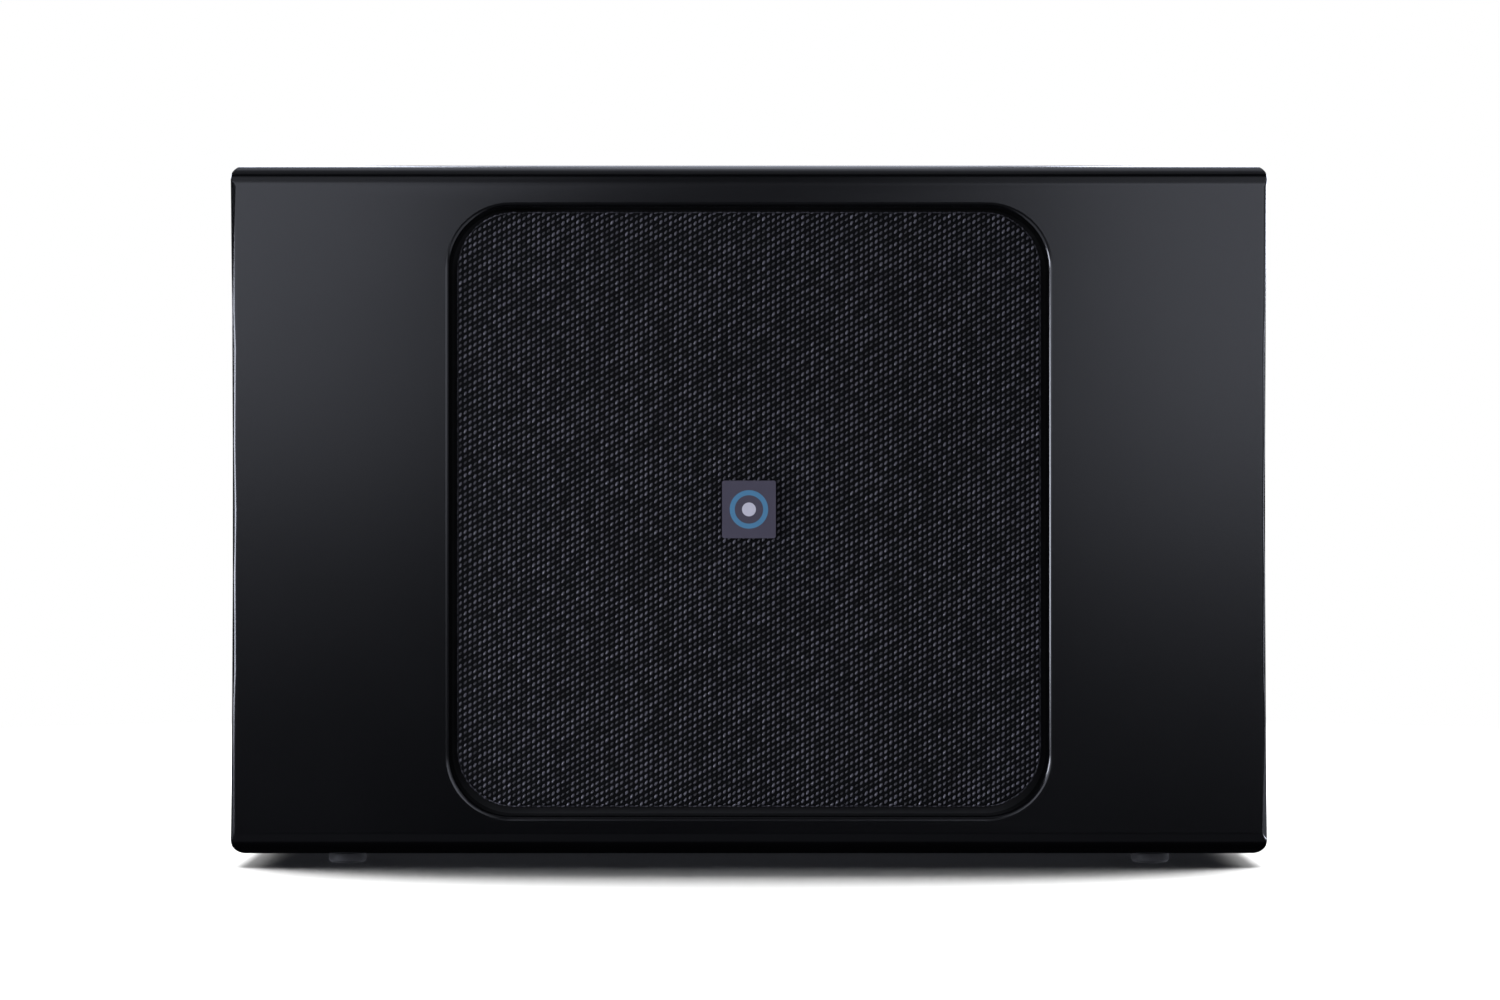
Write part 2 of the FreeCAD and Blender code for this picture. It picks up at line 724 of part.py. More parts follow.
# ---------------------------------------------------------------------------------------------
# Cabinet, baffle, braces and rear panel
# ---------------------------------------------------------------------------------------------


def foot_places():
    return [(S.foot_x * sx, S.foot_y * sy) for sx in (-1, 1) for sy in (-1, 1)]


def cabinet_outline(drawing):
    """The front outline: flat top and bottom, rounded corners, sides that curve in slightly."""
    r = S.outline_r
    half_w, half_h = S.cabinet_w / 2, S.cabinet_h / 2
    rise = half_h - r
    big_r = (rise * rise + S.waist * S.waist) / (S.waist * 2) - r
    big_x = half_w - S.waist + big_r
    # where a corner arc meets the long side arc, measured from the corner's centre
    share = r / (big_r + r)
    touch_x = half_w - r + (big_x - half_w + r) * share
    touch_rise = rise - rise * share
    steps = []
    for side, up in ((1, 1), (-1, -1)):
        steps += [
            (touch_x * side, MID_Z + touch_rise * up),
            ("arc", (half_w - r) * side, MID_Z + rise * up, 1),
            ((half_w - r) * side, MID_Z + half_h * up),
            ((half_w - r) * -side, MID_Z + half_h * up),
            ("arc", (half_w - r) * -side, MID_Z + rise * up, 1),
            (touch_x * -side, MID_Z + touch_rise * up),
            ("arc", big_x * -side, MID_Z, -1),
        ]
    return drawing.loop(steps)


def make_cabinet():
    made = body("cabinet")
    pad(made, cabinet_outline(Drawing(made, "XZ_Plane", FRONT_Y)), S.cabinet_d)
    front, rear = edge_at("Y", FRONT_Y), edge_at("Y", REAR_Y)
    dress(made, "Fillet", S.end_r, lambda e: front(e) or rear(e))
    spare = S.cut_extra
    profile = Drawing(made, "YZ_Plane", -S.cabinet_w / 2 - spare)
    profile.rectangle(0, MID_Z, S.cabinet_d + spare * 2, S.cabinet_h + spare * 2)
    profile.rounded(0, MID_Z, S.cabinet_d, S.cabinet_h, S.roll_r)
    pocket(made, profile, S.cabinet_w + spare * 2)
    inside = Drawing(made, "XZ_Plane", REAR_Y + spare).rectangle(0, MID_Z, INNER_W, INNER_H)
    pocket(made, inside, S.cabinet_d - S.front_t + spare, -1)
    recess = Drawing(made, "XZ_Plane", FRONT_Y - spare)
    recess.rounded(0, RECESS_Z, S.recess_w, S.recess_h, S.recess_r)
    pocket(made, recess, S.front_t + spare * 2)
    rim, reach = edge_at("Y", FRONT_Y), S.recess_w.value / 2 + 1
    dress(made, "Fillet", S.rim_r, lambda e: rim(e) and abs(e.CenterOfMass.x) < reach)
    holes = Drawing(made, "XY_Plane", BOTTOM_Z - spare)
    for x, y in foot_places():
        holes.circle(x, y, S.foot_shank_r + S.pilot_play)
    pocket(made, holes, S.wall * 0.85 + spare)


def driver_screw_places():
    turns = [math.radians(22.5 + 45 * i) for i in range(8)]
    pcr = S.driver_screw_pcr
    return [(pcr * round(math.cos(a), 6), MID_Z + pcr * round(math.sin(a), 6)) for a in turns]


def peg_places():
    return [(S.peg_x * sx, MID_Z + S.peg_z * sz) for sx in (-1, 1) for sz in (-1, 1)]


def make_baffle():
    made = body("baffle_board")
    board = Drawing(made, "XZ_Plane", BAFFLE_Y + S.glue_gap)
    pad(made, board.rectangle(0, MID_Z, S.baffle_w, INNER_H - S.glue_gap * 2), S.baffle_t - S.glue_gap)
    well = Drawing(made, "XZ_Plane", BAFFLE_Y).circle(0, MID_Z, S.well_r)
    pocket(made, well, S.well_depth)
    pocket(made, Drawing(made, "XZ_Plane", BAFFLE_Y).circle(0, MID_Z, S.cutout_r), S.baffle_t + S.cut_extra)
    pilots = Drawing(made, "XZ_Plane", SEAT_Y - S.cut_extra)
    for x, z in driver_screw_places():
        pilots.circle(x, z, S.driver_shank_r + S.pilot_play)
    pocket(made, pilots, S.baffle_t)
    sockets = Drawing(made, "XZ_Plane", BAFFLE_Y)
    for x, z in peg_places():
        sockets.circle(x, z, S.peg_r + S.peg_gap + S.socket_wall)
    pocket(made, sockets, S.socket_len + S.glue_gap)


def make_sockets():
    """Rubber cups in the baffle that grip the grille's pegs."""
    made = body("grille_sockets")
    bore = S.peg_r + S.peg_gap
    start = BAFFLE_Y + S.glue_gap
    cups, flanges = Drawing(made, "XZ_Plane", start), Drawing(made, "XZ_Plane", start)
    bores = Drawing(made, "XZ_Plane", start - S.socket_flange_t - S.cut_extra)
    for x, z in peg_places():
        cups.circle(x, z, bore + S.socket_wall)
        flanges.circle(x, z, S.socket_flange_r)
        bores.circle(x, z, bore)
    pad(made, cups, S.socket_len)
    pad(made, flanges, S.socket_flange_t, -1)
    pocket(made, bores, S.socket_len + S.socket_flange_t + S.cut_extra - S.socket_wall / 2)


def make_braces():
    depth = CLEAT_Y - BAFFLE_REAR_Y
    for name, side in (("brace_left", -1), ("brace_right", 1)):
        made = body(name)
        start = S.brace_x * side - S.brace_t / 2
        mid_y = BAFFLE_REAR_Y + depth / 2
        outline = Drawing(made, "YZ_Plane", start)
        pad(made, outline.rectangle(mid_y, MID_Z, depth, INNER_H - S.glue_gap * 2), S.brace_t)
        opening = (INNER_H - S.brace_rim * 4) / 3
        holes = Drawing(made, "YZ_Plane", start - S.cut_extra)
        for step in (-1, 0, 1):
            centre = MID_Z + (opening + S.brace_rim) * step
            holes.rounded(mid_y, centre, depth - S.brace_rim, opening, S.brace_t)
        pocket(made, holes, S.brace_t + S.cut_extra * 2)


def panel_screw_places():
    edge_x = INNER_W / 2 - S.cleat / 2
    edge_z = INNER_H / 2 - S.cleat / 2
    rows = [(S.panel_screw_x * i, MID_Z + edge_z * up) for i in (-2, -1, 0, 1, 2) for up in (-1, 1)]
    return rows + [(-edge_x, MID_Z), (edge_x, MID_Z)]


def ring_piece(label, start, thickness, hole_r):
    """A rectangular ring against the cabinet walls, with the rear panel's screw holes."""
    made = body(label)
    ring = Drawing(made, "XZ_Plane", start)
    ring.rectangle(0, MID_Z, INNER_W - S.glue_gap * 2, INNER_H - S.glue_gap * 2)
    ring.rectangle(0, MID_Z, INNER_W - S.cleat * 2, INNER_H - S.cleat * 2)
    pad(made, ring, thickness)
    holes = Drawing(made, "XZ_Plane", start - S.cut_extra)
    for x, z in panel_screw_places():
        holes.circle(x, z, hole_r)
    pocket(made, holes, size_of(thickness) + S.cut_extra * 2)


def insert_places():
    return [(S.insert_x * sx, MID_Z + S.insert_z * sz) for sx in (-1, 1) for sz in (-1, 1)]


def port_screw_places():
    step = S.port_screw_pcr * round(math.cos(math.radians(45)), 6)
    return [(S.port_x + step * sx, S.port_z + step * sz) for sx in (-1, 1) for sz in (-1, 1)]


def make_rear_panel():
    made = body("rear_panel")
    board = Drawing(made, "XZ_Plane", PANEL_Y)
    pad(made, board.rectangle(0, MID_Z, INNER_W - S.panel_play * 2, INNER_H - S.panel_play * 2), S.panel_t)
    dress(made, "Chamfer", S.panel_play * 2, edge_at("Y", REAR_Y))
    seat = Drawing(made, "XZ_Plane", REAR_Y + S.cut_extra)
    seat.rounded(S.amp_x, MID_Z, S.amp_w + S.amp_play * 2, S.amp_h + S.amp_play * 2, S.amp_corner_r)
    pocket(made, seat, S.amp_recess + S.cut_extra, -1)
    window = Drawing(made, "XZ_Plane", REAR_Y)
    window.rectangle(S.amp_x, MID_Z, S.amp_w - S.amp_ledge * 2, S.amp_h - S.amp_ledge * 2)
    pocket(made, window, S.panel_t + S.cut_extra, -1)
    seat = Drawing(made, "XZ_Plane", REAR_Y + S.cut_extra)
    seat.circle(S.port_x, S.port_z, S.port_flange_r + S.panel_play)
    pocket(made, seat, S.port_flange_t + S.cut_extra, -1)
    hole = Drawing(made, "XZ_Plane", REAR_Y)
    hole.circle(S.port_x, S.port_z, S.port_r + S.port_wall + S.port_flare / 2)
    pocket(made, hole, S.panel_t + S.cut_extra, -1)
    holes = Drawing(made, "XZ_Plane", REAR_Y + S.cut_extra)
    for x, z in panel_screw_places():
        holes.circle(x, z, S.panel_shank_r + S.through_play)
    pocket(made, holes, S.panel_t + S.cut_extra * 2, -1)
    seats = Drawing(made, "XZ_Plane", REAR_Y + S.cut_extra)
    for x, z in panel_screw_places():
        seats.circle(x, z, S.panel_head_r + S.through_play)
    pocket(made, seats, S.panel_head_t + S.cut_extra, -1)
    inserts = Drawing(made, "XZ_Plane", REAR_Y + S.cut_extra)
    for x, z in insert_places():
        inserts.circle(x, z, S.insert_r)
    pocket(made, inserts, S.insert_len + S.cut_extra, -1)
    pilots = Drawing(made, "XZ_Plane", LEDGE_Y + S.cut_extra)
    for x, z in amp_screw_places():
        pilots.circle(x, z, S.amp_shank_r + S.pilot_play)
    pocket(made, pilots, S.panel_t, -1)
    pilots = Drawing(made, "XZ_Plane", REAR_Y)
    for x, z in port_screw_places():
        pilots.circle(x, z, S.port_shank_r + S.pilot_play)
    pocket(made, pilots, S.panel_t - S.port_head_t, -1)


def make_inserts():
    """Brass threaded inserts for a wall bracket, flush with the rear panel."""
    made = body("wall_inserts")
    sleeves = Drawing(made, "XZ_Plane", REAR_Y)
    bores = Drawing(made, "XZ_Plane", REAR_Y + S.cut_extra)
    for x, z in insert_places():
        sleeves.circle(x, z, S.insert_r)
        bores.circle(x, z, S.insert_bore_r)
    pad(made, sleeves, S.insert_len, -1)
    pocket(made, bores, S.insert_len + S.cut_extra * 2, -1)


def make_feet():
    names = ["foot_front_left", "foot_rear_left", "foot_front_right", "foot_rear_right"]
    for name, (x, y) in zip(names, foot_places()):
        made = body(name, x, y, 0)
        taper = S.foot_r * 0.12
        profile = Drawing(made, "XZ_Plane")
        profile.loop(
            [
                (S.foot_shank_r + S.through_play, S.foot_seat),
                (S.foot_head_r + S.through_play, S.foot_seat),
                (S.foot_head_r + S.through_play, 0),
                (S.foot_r - taper, 0),
                (S.foot_r, taper),
                (S.foot_r, S.foot_h - taper),
                (S.foot_r - taper, S.foot_h),
                (S.foot_shank_r + S.through_play, S.foot_h),
            ]
        )
        revolve(made, profile)


def make_structure():
    make_cabinet()
    make_baffle()
    make_sockets()
    make_braces()
    ring_piece("rear_mounting_frame", CLEAT_Y, S.cleat, S.panel_shank_r + S.pilot_play)
    ring_piece("rear_seal", SEAL_Y, S.seal_t, S.panel_shank_r + S.through_play)
    make_rear_panel()
    make_inserts()
    screw_face = REAR_Y - S.panel_head_t
    screws(
        "rear_panel_screws", "XZ_Plane", panel_screw_places(), screw_face, S.panel_head_r, S.panel_shank_r,
        S.panel_t + S.cleat * 0.6, -1, S.panel_head_t,
    )
    make_feet()
    screws(
        "foot_screws", "XY_Plane", foot_places(), S.foot_seat, S.foot_head_r, S.foot_shank_r,
        S.foot_h - S.foot_seat + S.wall * 0.75, 1, S.foot_head_t,
    )


# ---------------------------------------------------------------------------------------------
# Grille
# ---------------------------------------------------------------------------------------------


def badge_pin_places():
    return [(0, MID_Z + S.badge_pin_z * up) for up in (-1, 1)]


def make_grille_frame():
    made = body("grille_frame")
    inset = S.cloth_t * 2
    plate_w, plate_h = S.grille_w - inset, S.grille_h - inset
    plate = Drawing(made, "XZ_Plane", FRAME_Y)
    plate.rounded(0, MID_Z, plate_w, plate_h, S.grille_r - S.cloth_t)
    pad(made, plate, S.grille_t - inset)
    opening = Drawing(made, "XZ_Plane", FRAME_Y - S.cut_extra).circle(0, MID_Z, S.frame_open_r)
    pocket(made, opening, S.grille_t + S.cut_extra)
    for width, height in ((S.spoke_w, S.frame_open_r * 2 + 2), (S.frame_open_r * 2 + 2, S.spoke_w)):
        spoke = Drawing(made, "XZ_Plane", FRAME_Y).rectangle(0, MID_Z, width, height)
        pad(made, spoke, S.frame_web_t)
    pad(made, Drawing(made, "XZ_Plane", FRAME_Y).circle(0, MID_Z, S.hub_r), S.frame_web_t)
    pegs = Drawing(made, "XZ_Plane", FRAME_REAR_Y - S.grille_t / 2)
    for x, z in peg_places():
        pegs.circle(x, z, S.peg_r)
    pad(made, pegs, S.grille_t / 2 + S.peg_len)
    dress(made, "Chamfer", S.peg_r / 4, edge_at("Y", FRAME_REAR_Y + S.peg_len))
    pins = Drawing(made, "XZ_Plane", FRAME_Y - S.cut_extra)
    for x, z in badge_pin_places():
        pins.circle(x, z, S.badge_pin_r)
    pocket(made, pins, S.frame_web_t + S.cut_extra * 2)


def make_grille_cloth():
    """The cloth as a plain cap over the frame, with its edge folded over the back."""
    made = body("grille_cloth")
    block = Drawing(made, "XZ_Plane", CLOTH_Y)
    block.rounded(0, MID_Z, S.grille_w, S.grille_h, S.grille_r)
    pad(made, block, S.grille_t)
    dress(made, "Fillet", S.cloth_t * 1.5, edge_at("Y", CLOTH_Y))
    skin = S.cloth_t
    hollow = Drawing(made, "XZ_Plane", FRAME_Y)
    hollow.rounded(0, MID_Z, S.grille_w - skin * 2, S.grille_h - skin * 2, S.grille_r - skin)
    pocket(made, hollow, S.grille_t - skin * 2)
    back = Drawing(made, "XZ_Plane", FRAME_REAR_Y - skin * 1.5)
    lip = (skin + S.cloth_lip) * 2
    back.rounded(0, MID_Z, S.grille_w - lip, S.grille_h - lip, S.grille_r - lip / 2)
    pocket(made, back, skin * 2 + S.cut_extra)
    pins = Drawing(made, "XZ_Plane", CLOTH_Y - S.cut_extra)
    for x, z in badge_pin_places():
        pins.circle(x, z, S.badge_pin_r)
    pocket(made, pins, skin + S.cut_extra * 2)


def make_badge():
    """A plain plate with a ring and a dot let into it, on two pins."""
    made = body("badge_plate")
    front = CLOTH_Y - S.badge_t
    plate = Drawing(made, "XZ_Plane", front).rounded(0, MID_Z, S.badge_w, S.badge_h, S.badge_r)
    pad(made, plate, S.badge_t)
    pins = Drawing(made, "XZ_Plane", CLOTH_Y)
    for x, z in badge_pin_places():
        pins.circle(x, z, S.badge_pin_r)
    pad(made, pins, S.cloth_t + S.frame_web_t)
    ring_in = S.badge_ring_r - S.badge_ring_w
    groove = Drawing(made, "XZ_Plane", front - S.cut_extra)
    groove.circle(0, MID_Z, S.badge_ring_r).circle(0, MID_Z, ring_in)
    pocket(made, groove, S.inlay_t + S.cut_extra)
    dot = Drawing(made, "XZ_Plane", front - S.cut_extra).circle(0, MID_Z, S.badge_dot_r)
    pocket(made, dot, S.inlay_t + S.cut_extra)
    ring = body("badge_ring")
    drawing = Drawing(ring, "XZ_Plane", front)
    pad(ring, drawing.circle(0, MID_Z, S.badge_ring_r).circle(0, MID_Z, ring_in), S.inlay_t)
    dot = body("badge_dot")
    pad(dot, Drawing(dot, "XZ_Plane", front).circle(0, MID_Z, S.badge_dot_r), S.inlay_t)


# ---------------------------------------------------------------------------------------------
# Driver: every piece is turned about the driver's axis, in (radius, depth below the flange face)
# ---------------------------------------------------------------------------------------------


def turned(label, steps):
    made = body(label, 0, FLANGE_Y, MID_Z)
    revolve(made, Drawing(made, "XY_Plane").loop(steps))
    return made


def tube_steps(inner, outer, start, end):
    return [(inner, start), (outer, start), (outer, end), (inner, end)]


def make_basket():
    wall = S.basket_wall
    foot = S.basket_neck_r + wall
    made = turned(
        "driver_basket",
        [
            (S.basket_open_r, 0),
            (S.flange_r, 0),
            (S.flange_r, S.flange_t),
            (S.basket_open_r + wall, S.flange_t),
            (foot, S.shelf_depth + wall),
            (S.basket_neck_r, S.shelf_depth + wall * 2),
            (S.basket_neck_r, S.motor_depth),
            (S.magnet_in_r, S.motor_depth),
            (S.magnet_in_r, S.motor_depth - wall),
            (S.shelf_r, S.motor_depth - wall),
            (S.shelf_r, S.shelf_depth),
            (foot - wall * 0.6, S.shelf_depth),
            (S.basket_open_r, S.flange_t),
        ],
    )
    half = math.radians(S.window_half_angle.value)
    window = Drawing(made, "XZ_Plane", S.flange_t + S.basket_wall)
    across, up = round(math.sin(half), 6), round(math.cos(half), 6)
    near, far = S.window_in_r, S.window_out_r
    window.loop(
        [
            (near * up, near * across),
            ("arc", 0, 0, -1),
            (near * up, near * -across),
            (far * up, far * -across),
            ("arc", 0, 0, 1),
            (far * up, far * across),
        ]
    )
    polar(made, pocket(made, window, S.motor_depth), window, 6)
    holes = Drawing(made, "XZ_Plane", -S.cut_extra)
    for x, z in driver_screw_places():
        holes.circle(x, z - MID_Z, S.driver_shank_r + S.through_play)
    pocket(made, holes, S.flange_t + S.cut_extra * 2)


def make_driver_seal():
    made = body("driver_gasket", 0, FLANGE_Y, MID_Z)
    ring = Drawing(made, "XZ_Plane", S.flange_t)
    pad(made, ring.circle(0, 0, S.flange_r).circle(0, 0, S.cutout_r), S.driver_seal_t)
    holes = Drawing(made, "XZ_Plane", S.flange_t - S.cut_extra)
    for x, z in driver_screw_places():
        holes.circle(x, z - MID_Z, S.driver_shank_r + S.through_play)
    pocket(made, holes, S.driver_seal_t + S.cut_extra * 2)


def make_motor():
    top = S.motor_depth
    magnet = top + S.top_plate_t
    back = magnet + S.magnet_t
    gap_out = COIL_OUT_R + S.winding_t + S.coil_gap
    pole = S.coil_r - S.coil_gap
    turned("top_plate", tube_steps(gap_out, S.plate_r, top, magnet))
    turned("ring_magnet", tube_steps(S.magnet_in_r, S.magnet_r, magnet, back))
    turned(
        "pole_yoke",
        [
            (S.vent_r, top - S.cut_extra),
            (pole, top - S.cut_extra),
            (pole, back),
            (S.plate_r, back),
            (S.plate_r, back + S.back_plate_t),
            (S.vent_r, back + S.back_plate_t),
        ],
    )


def cone_slope():
    """Depth lost per millimetre of radius on the cone's front face."""
    return S.cone_depth / (S.cone_lip_r - COIL_OUT_R)


def make_cone():
    neck = COIL_OUT_R
    turned(
        "cone",
        [
            (S.cone_r, 0),
            (S.cone_r, S.cone_t),
            (S.cone_lip_r + S.cone_t / 2, S.cone_t),
            (neck + S.cone_t, S.cone_depth + S.cone_t),
            (neck, S.cone_depth + S.cone_t),
            (neck, S.cone_depth),
            (S.cone_lip_r, 0),
        ],
    )
    seat = (S.cone_lip_r - S.cap_r) * cone_slope() - S.cone_t / 4
    big_r = (S.cap_r * S.cap_r + S.cap_rise * S.cap_rise) / (S.cap_rise * 2)
    small_r = big_r - S.cap_t
    centre = seat - S.cap_rise + big_r
    inner = root(small_r * small_r - (centre - seat) * (centre - seat))
    made = body("dust_cap", 0, FLANGE_Y, MID_Z)
    dome = Drawing(made, "XY_Plane").loop(
        [
            (0, centre - small_r),
            (0, centre - big_r),
            ("arc", 0, centre, 1),
            (S.cap_r, seat),
            (inner, seat),
            ("arc", 0, centre, -1),
        ]
    )
    revolve(made, dome)
    turned("coil_former", tube_steps(S.coil_r, COIL_OUT_R, S.former_start, S.former_end))
    middle = S.motor_depth + S.top_plate_t / 2
    half = S.winding_len / 2
    turned("voice_coil", tube_steps(COIL_OUT_R, COIL_OUT_R + S.winding_t, middle - half, middle + half))


def make_surround():
    """One half roll of rubber between the cone's lip and the basket flange."""
    half = S.surround_t / 2
    outer, inner = S.surround_roll_r + half, S.surround_roll_r - half
    mid, t = S.roll_mid_r, S.surround_t
    turned(
        "surround",
        [
            (S.cone_lip_r + 1, -t),
            (mid - outer, -t),
            ("arc", mid, -t, 1),
            (mid + outer, -t),
            (S.surround_out_r, -t),
            (S.surround_out_r, 0),
            (mid + inner, 0),
            (mid + inner, -t),
            ("arc", mid, -t, -1),
            (mid - inner, -t),
            (mid - inner, 0),
            (S.cone_lip_r + 1, 0),
        ],
    )


def spider_side(level):
    """One side of the spider from the coil outwards: a collar and a run of equal arcs."""
    start, end = COIL_OUT_R + S.spider_collar, S.shelf_r - S.cut_extra
    step = (end - start) / SPIDER_ARCS
    radius = (step * step / 4 + S.spider_wave * S.spider_wave) / (S.spider_wave * 2)
    steps = [(COIL_OUT_R, level), (start, level)]
    for i in range(SPIDER_ARCS):
        up = 1 if i % 2 else -1
        steps.append(("arc", start + step * (i + 0.5), level - (radius - S.spider_wave) * up, -up))
        steps.append((start + step * (i + 1), level))
    return steps + [(S.spider_out_r, level)]


def backwards(steps):
    """The same outline from its far end, with every arc turned the other way."""
    return [("arc", s[1], s[2], -s[3]) if s[0] == "arc" else s for s in reversed(steps)]


def make_spider():
    """A corrugated cloth disc: a flat collar, waves, and a flat rim glued to the basket's shelf."""
    front = spider_side(S.shelf_depth - S.spider_t)
    rear = spider_side(S.shelf_depth)
    turned("spider", front + backwards(rear))


def terminal_front():
    return FLANGE_Y + S.shelf_depth + S.basket_wall * 2 + S.terminal_gap


def make_driver_wiring():
    """The terminal block with its two lugs, and the tinsel leads from it to the cone."""
    depth = terminal_front()
    outer = -(S.basket_neck_r + S.glue_gap / 2 + S.terminal_t / 2)
    blocks = [box("terminal_block", outer, depth, MID_Z, S.terminal_t, S.terminal_d, S.terminal_w)]
    x = outer - S.terminal_t / 2 - S.lug_len / 2
    for up in (-1, 1):
        z = MID_Z + S.lead_pitch / 2 * up
        lug_y = depth + (S.terminal_d - S.lug_t) / 2
        blocks.append(box("terminal_lug", x, lug_y, z, S.lug_len, S.lug_t, S.lug_w))
    group("driver_terminals", blocks)
    start_x, bow = outer - S.terminal_t / 4, S.tinsel_bow
    start_y, leg = depth - S.pilot_play * 3, S.tinsel_leg
    cone_x = (S.cap_r + S.cone_lip_r) / 2 + S.cone_t * 4
    cone_y = FLANGE_Y + (S.cone_lip_r - cone_x) * cone_slope() + S.tinsel_r * 3
    leads = []
    for up in (-1, 1):
        z = MID_Z + S.lead_pitch / 2 * up
        route = [
            (start_x, start_y, z),
            (start_x, start_y - leg / 3, z),
            (start_x - bow / 2, start_y - leg, z),
            (start_x - bow, start_y - leg * 2, z),
            (start_x - bow / 2, start_y - leg * 3, z),
            (-cone_x - bow, cone_y + leg / 2, z),
            (-cone_x, cone_y, z),
        ]
        leads.append(tube(route, S.tinsel_r))
    shaped("tinsel_leads", Part.makeCompound(leads))


def make_driver():
    make_basket()
    make_driver_seal()
    make_motor()
    make_cone()
    make_surround()
    make_spider()
    make_driver_wiring()
    screws(
        "driver_screws", "XZ_Plane", driver_screw_places(), FLANGE_Y, S.driver_head_r, S.driver_shank_r,
        S.flange_t + S.driver_seal_t + S.baffle_t - S.well_depth - S.cut_extra, 1, S.driver_head_t,
    )


# ---------------------------------------------------------------------------------------------
# Amplifier
# ---------------------------------------------------------------------------------------------


def amp_at(x, z):
    return S.amp_x + x, MID_Z + z


def amp_screw_places():
    edge_x = S.amp_w / 2 - S.amp_ledge / 2
    edge_z = S.amp_h / 2 - S.amp_ledge / 2
    corners = [amp_at(edge_x * sx, edge_z * sz) for sx in (-1, 1) for sz in (-1, 1)]
    return corners + [amp_at(edge_x * sx, edge_z / 3 * sz) for sx in (-1, 1) for sz in (-1, 1)]


def standoff_places():
    reach = S.main_h / 2 - S.post_edge
    return [amp_at(S.post_x * sx, S.main_z + reach * sz) for sx in (-1, 1) for sz in (-1, 1)]


def make_amp_plate():
    made = body("amp_plate")
    plate = Drawing(made, "XZ_Plane", LEDGE_Y)
    pad(made, plate.rounded(S.amp_x, MID_Z, S.amp_w, S.amp_h, S.amp_corner_r - S.amp_play), S.amp_t)
    play = S.shaft_play
    cuts = Drawing(made, "XZ_Plane", LEDGE_Y - S.cut_extra)
    for x, z in amp_screw_places():
        cuts.circle(x, z, S.amp_shank_r + S.through_play)
    for side in (-1, 1):
        cuts.circle(*amp_at(S.knob_x * side, S.knob_z), S.shaft_r + play * 2)
    cuts.rectangle(
        *amp_at(-S.knob_x + S.lever_travel / 2, S.control_z),
        S.lever_w + S.lever_travel + play * 2, S.lever_h + play * 2,
    )
    cuts.circle(*amp_at(S.knob_x, S.control_z), S.button_r + play)
    cuts.circle(*amp_at(S.led_x, S.control_z), S.led_r + play / 3)
    for i in range(2):
        cuts.circle(*amp_at(S.rca_x + S.rca_pitch * i, S.jack_z), S.rca_base_r - S.rca_neck + S.stud_play)
    cuts.rectangle(*amp_at(S.net_x, S.jack_z), S.net_w + play, S.net_h + play)
    cuts.rectangle(*amp_at(S.inlet_x, S.power_z), S.inlet_w + play, S.inlet_h + play)
    cuts.rectangle(*amp_at(S.switch_x, S.power_z), S.switch_w + play, S.switch_h + play)
    pocket(made, cuts, S.amp_t + S.cut_extra * 2)


def make_heatsink():
    made = body("heatsink")
    base = Drawing(made, "XZ_Plane", PLATE_Y)
    pad(made, base.rectangle(*amp_at(0, S.sink_z), S.sink_w, S.sink_h), S.sink_base)
    count = int((S.sink_w.value - S.fin_t.value) / S.fin_pitch.value) + 1
    first = S.amp_x - S.fin_pitch * (count - 1) / 2
    fin = Drawing(made, "XZ_Plane", PLATE_Y + S.sink_base)
    fin.rectangle(first, MID_Z + S.sink_z, S.fin_t, S.sink_h)
    row(made, pad(made, fin, S.fin_h), fin, S.fin_pitch, count)


def make_knob(label, side):
    """A fluted knob with a pointer groove, turned down to a shaft that runs into its potentiometer."""
    x, z = amp_at(S.knob_x * side, S.knob_z)
    made = body(label, x, PLATE_Y + S.knob_lift, z)
    edge = S.knob_h / 8
    revolve(
        made,
        Drawing(made, "XY_Plane").loop(
            [
                (0, S.knob_h),
                (0, -S.knob_lift - S.amp_t - S.pot_t * 0.8),
                (S.shaft_r, -S.knob_lift - S.amp_t - S.pot_t * 0.8),
                (S.shaft_r, 0),
                (S.knob_r, 0),
                (S.knob_r * 0.9, S.knob_h - edge),
                (S.knob_r * 0.9 - edge, S.knob_h),
            ]
        ),
    )
    flute = Drawing(made, "XZ_Plane", S.knob_h * 0.18)
    flute.circle(0, S.knob_r + S.flute_out, S.knob_r * 0.12)
    polar(made, pocket(made, flute, S.knob_h), flute, 18)
    pointer = Drawing(made, "XZ_Plane", S.knob_h + S.cut_extra)
    pointer.rectangle(0, S.knob_r * 0.55, S.pointer_w, S.knob_r * 0.7)
    pocket(made, pointer, S.cut_extra + S.pointer_d, -1)


def make_controls():
    make_knob("level_knob", -1)
    make_knob("crossover_knob", 1)
    pots = body("potentiometers")
    blocks, bores = Drawing(pots, "XZ_Plane", LEDGE_Y), Drawing(pots, "XZ_Plane", LEDGE_Y + S.cut_extra)
    for side in (-1, 1):
        blocks.rectangle(*amp_at(S.knob_x * side, S.knob_z), S.pot_w, S.pot_w)
        bores.circle(*amp_at(S.knob_x * side, S.knob_z), S.shaft_r + S.shaft_play)
    pad(pots, blocks, S.pot_t, -1)
    pocket(pots, bores, S.cut_extra + S.pot_t * 0.9, -1)


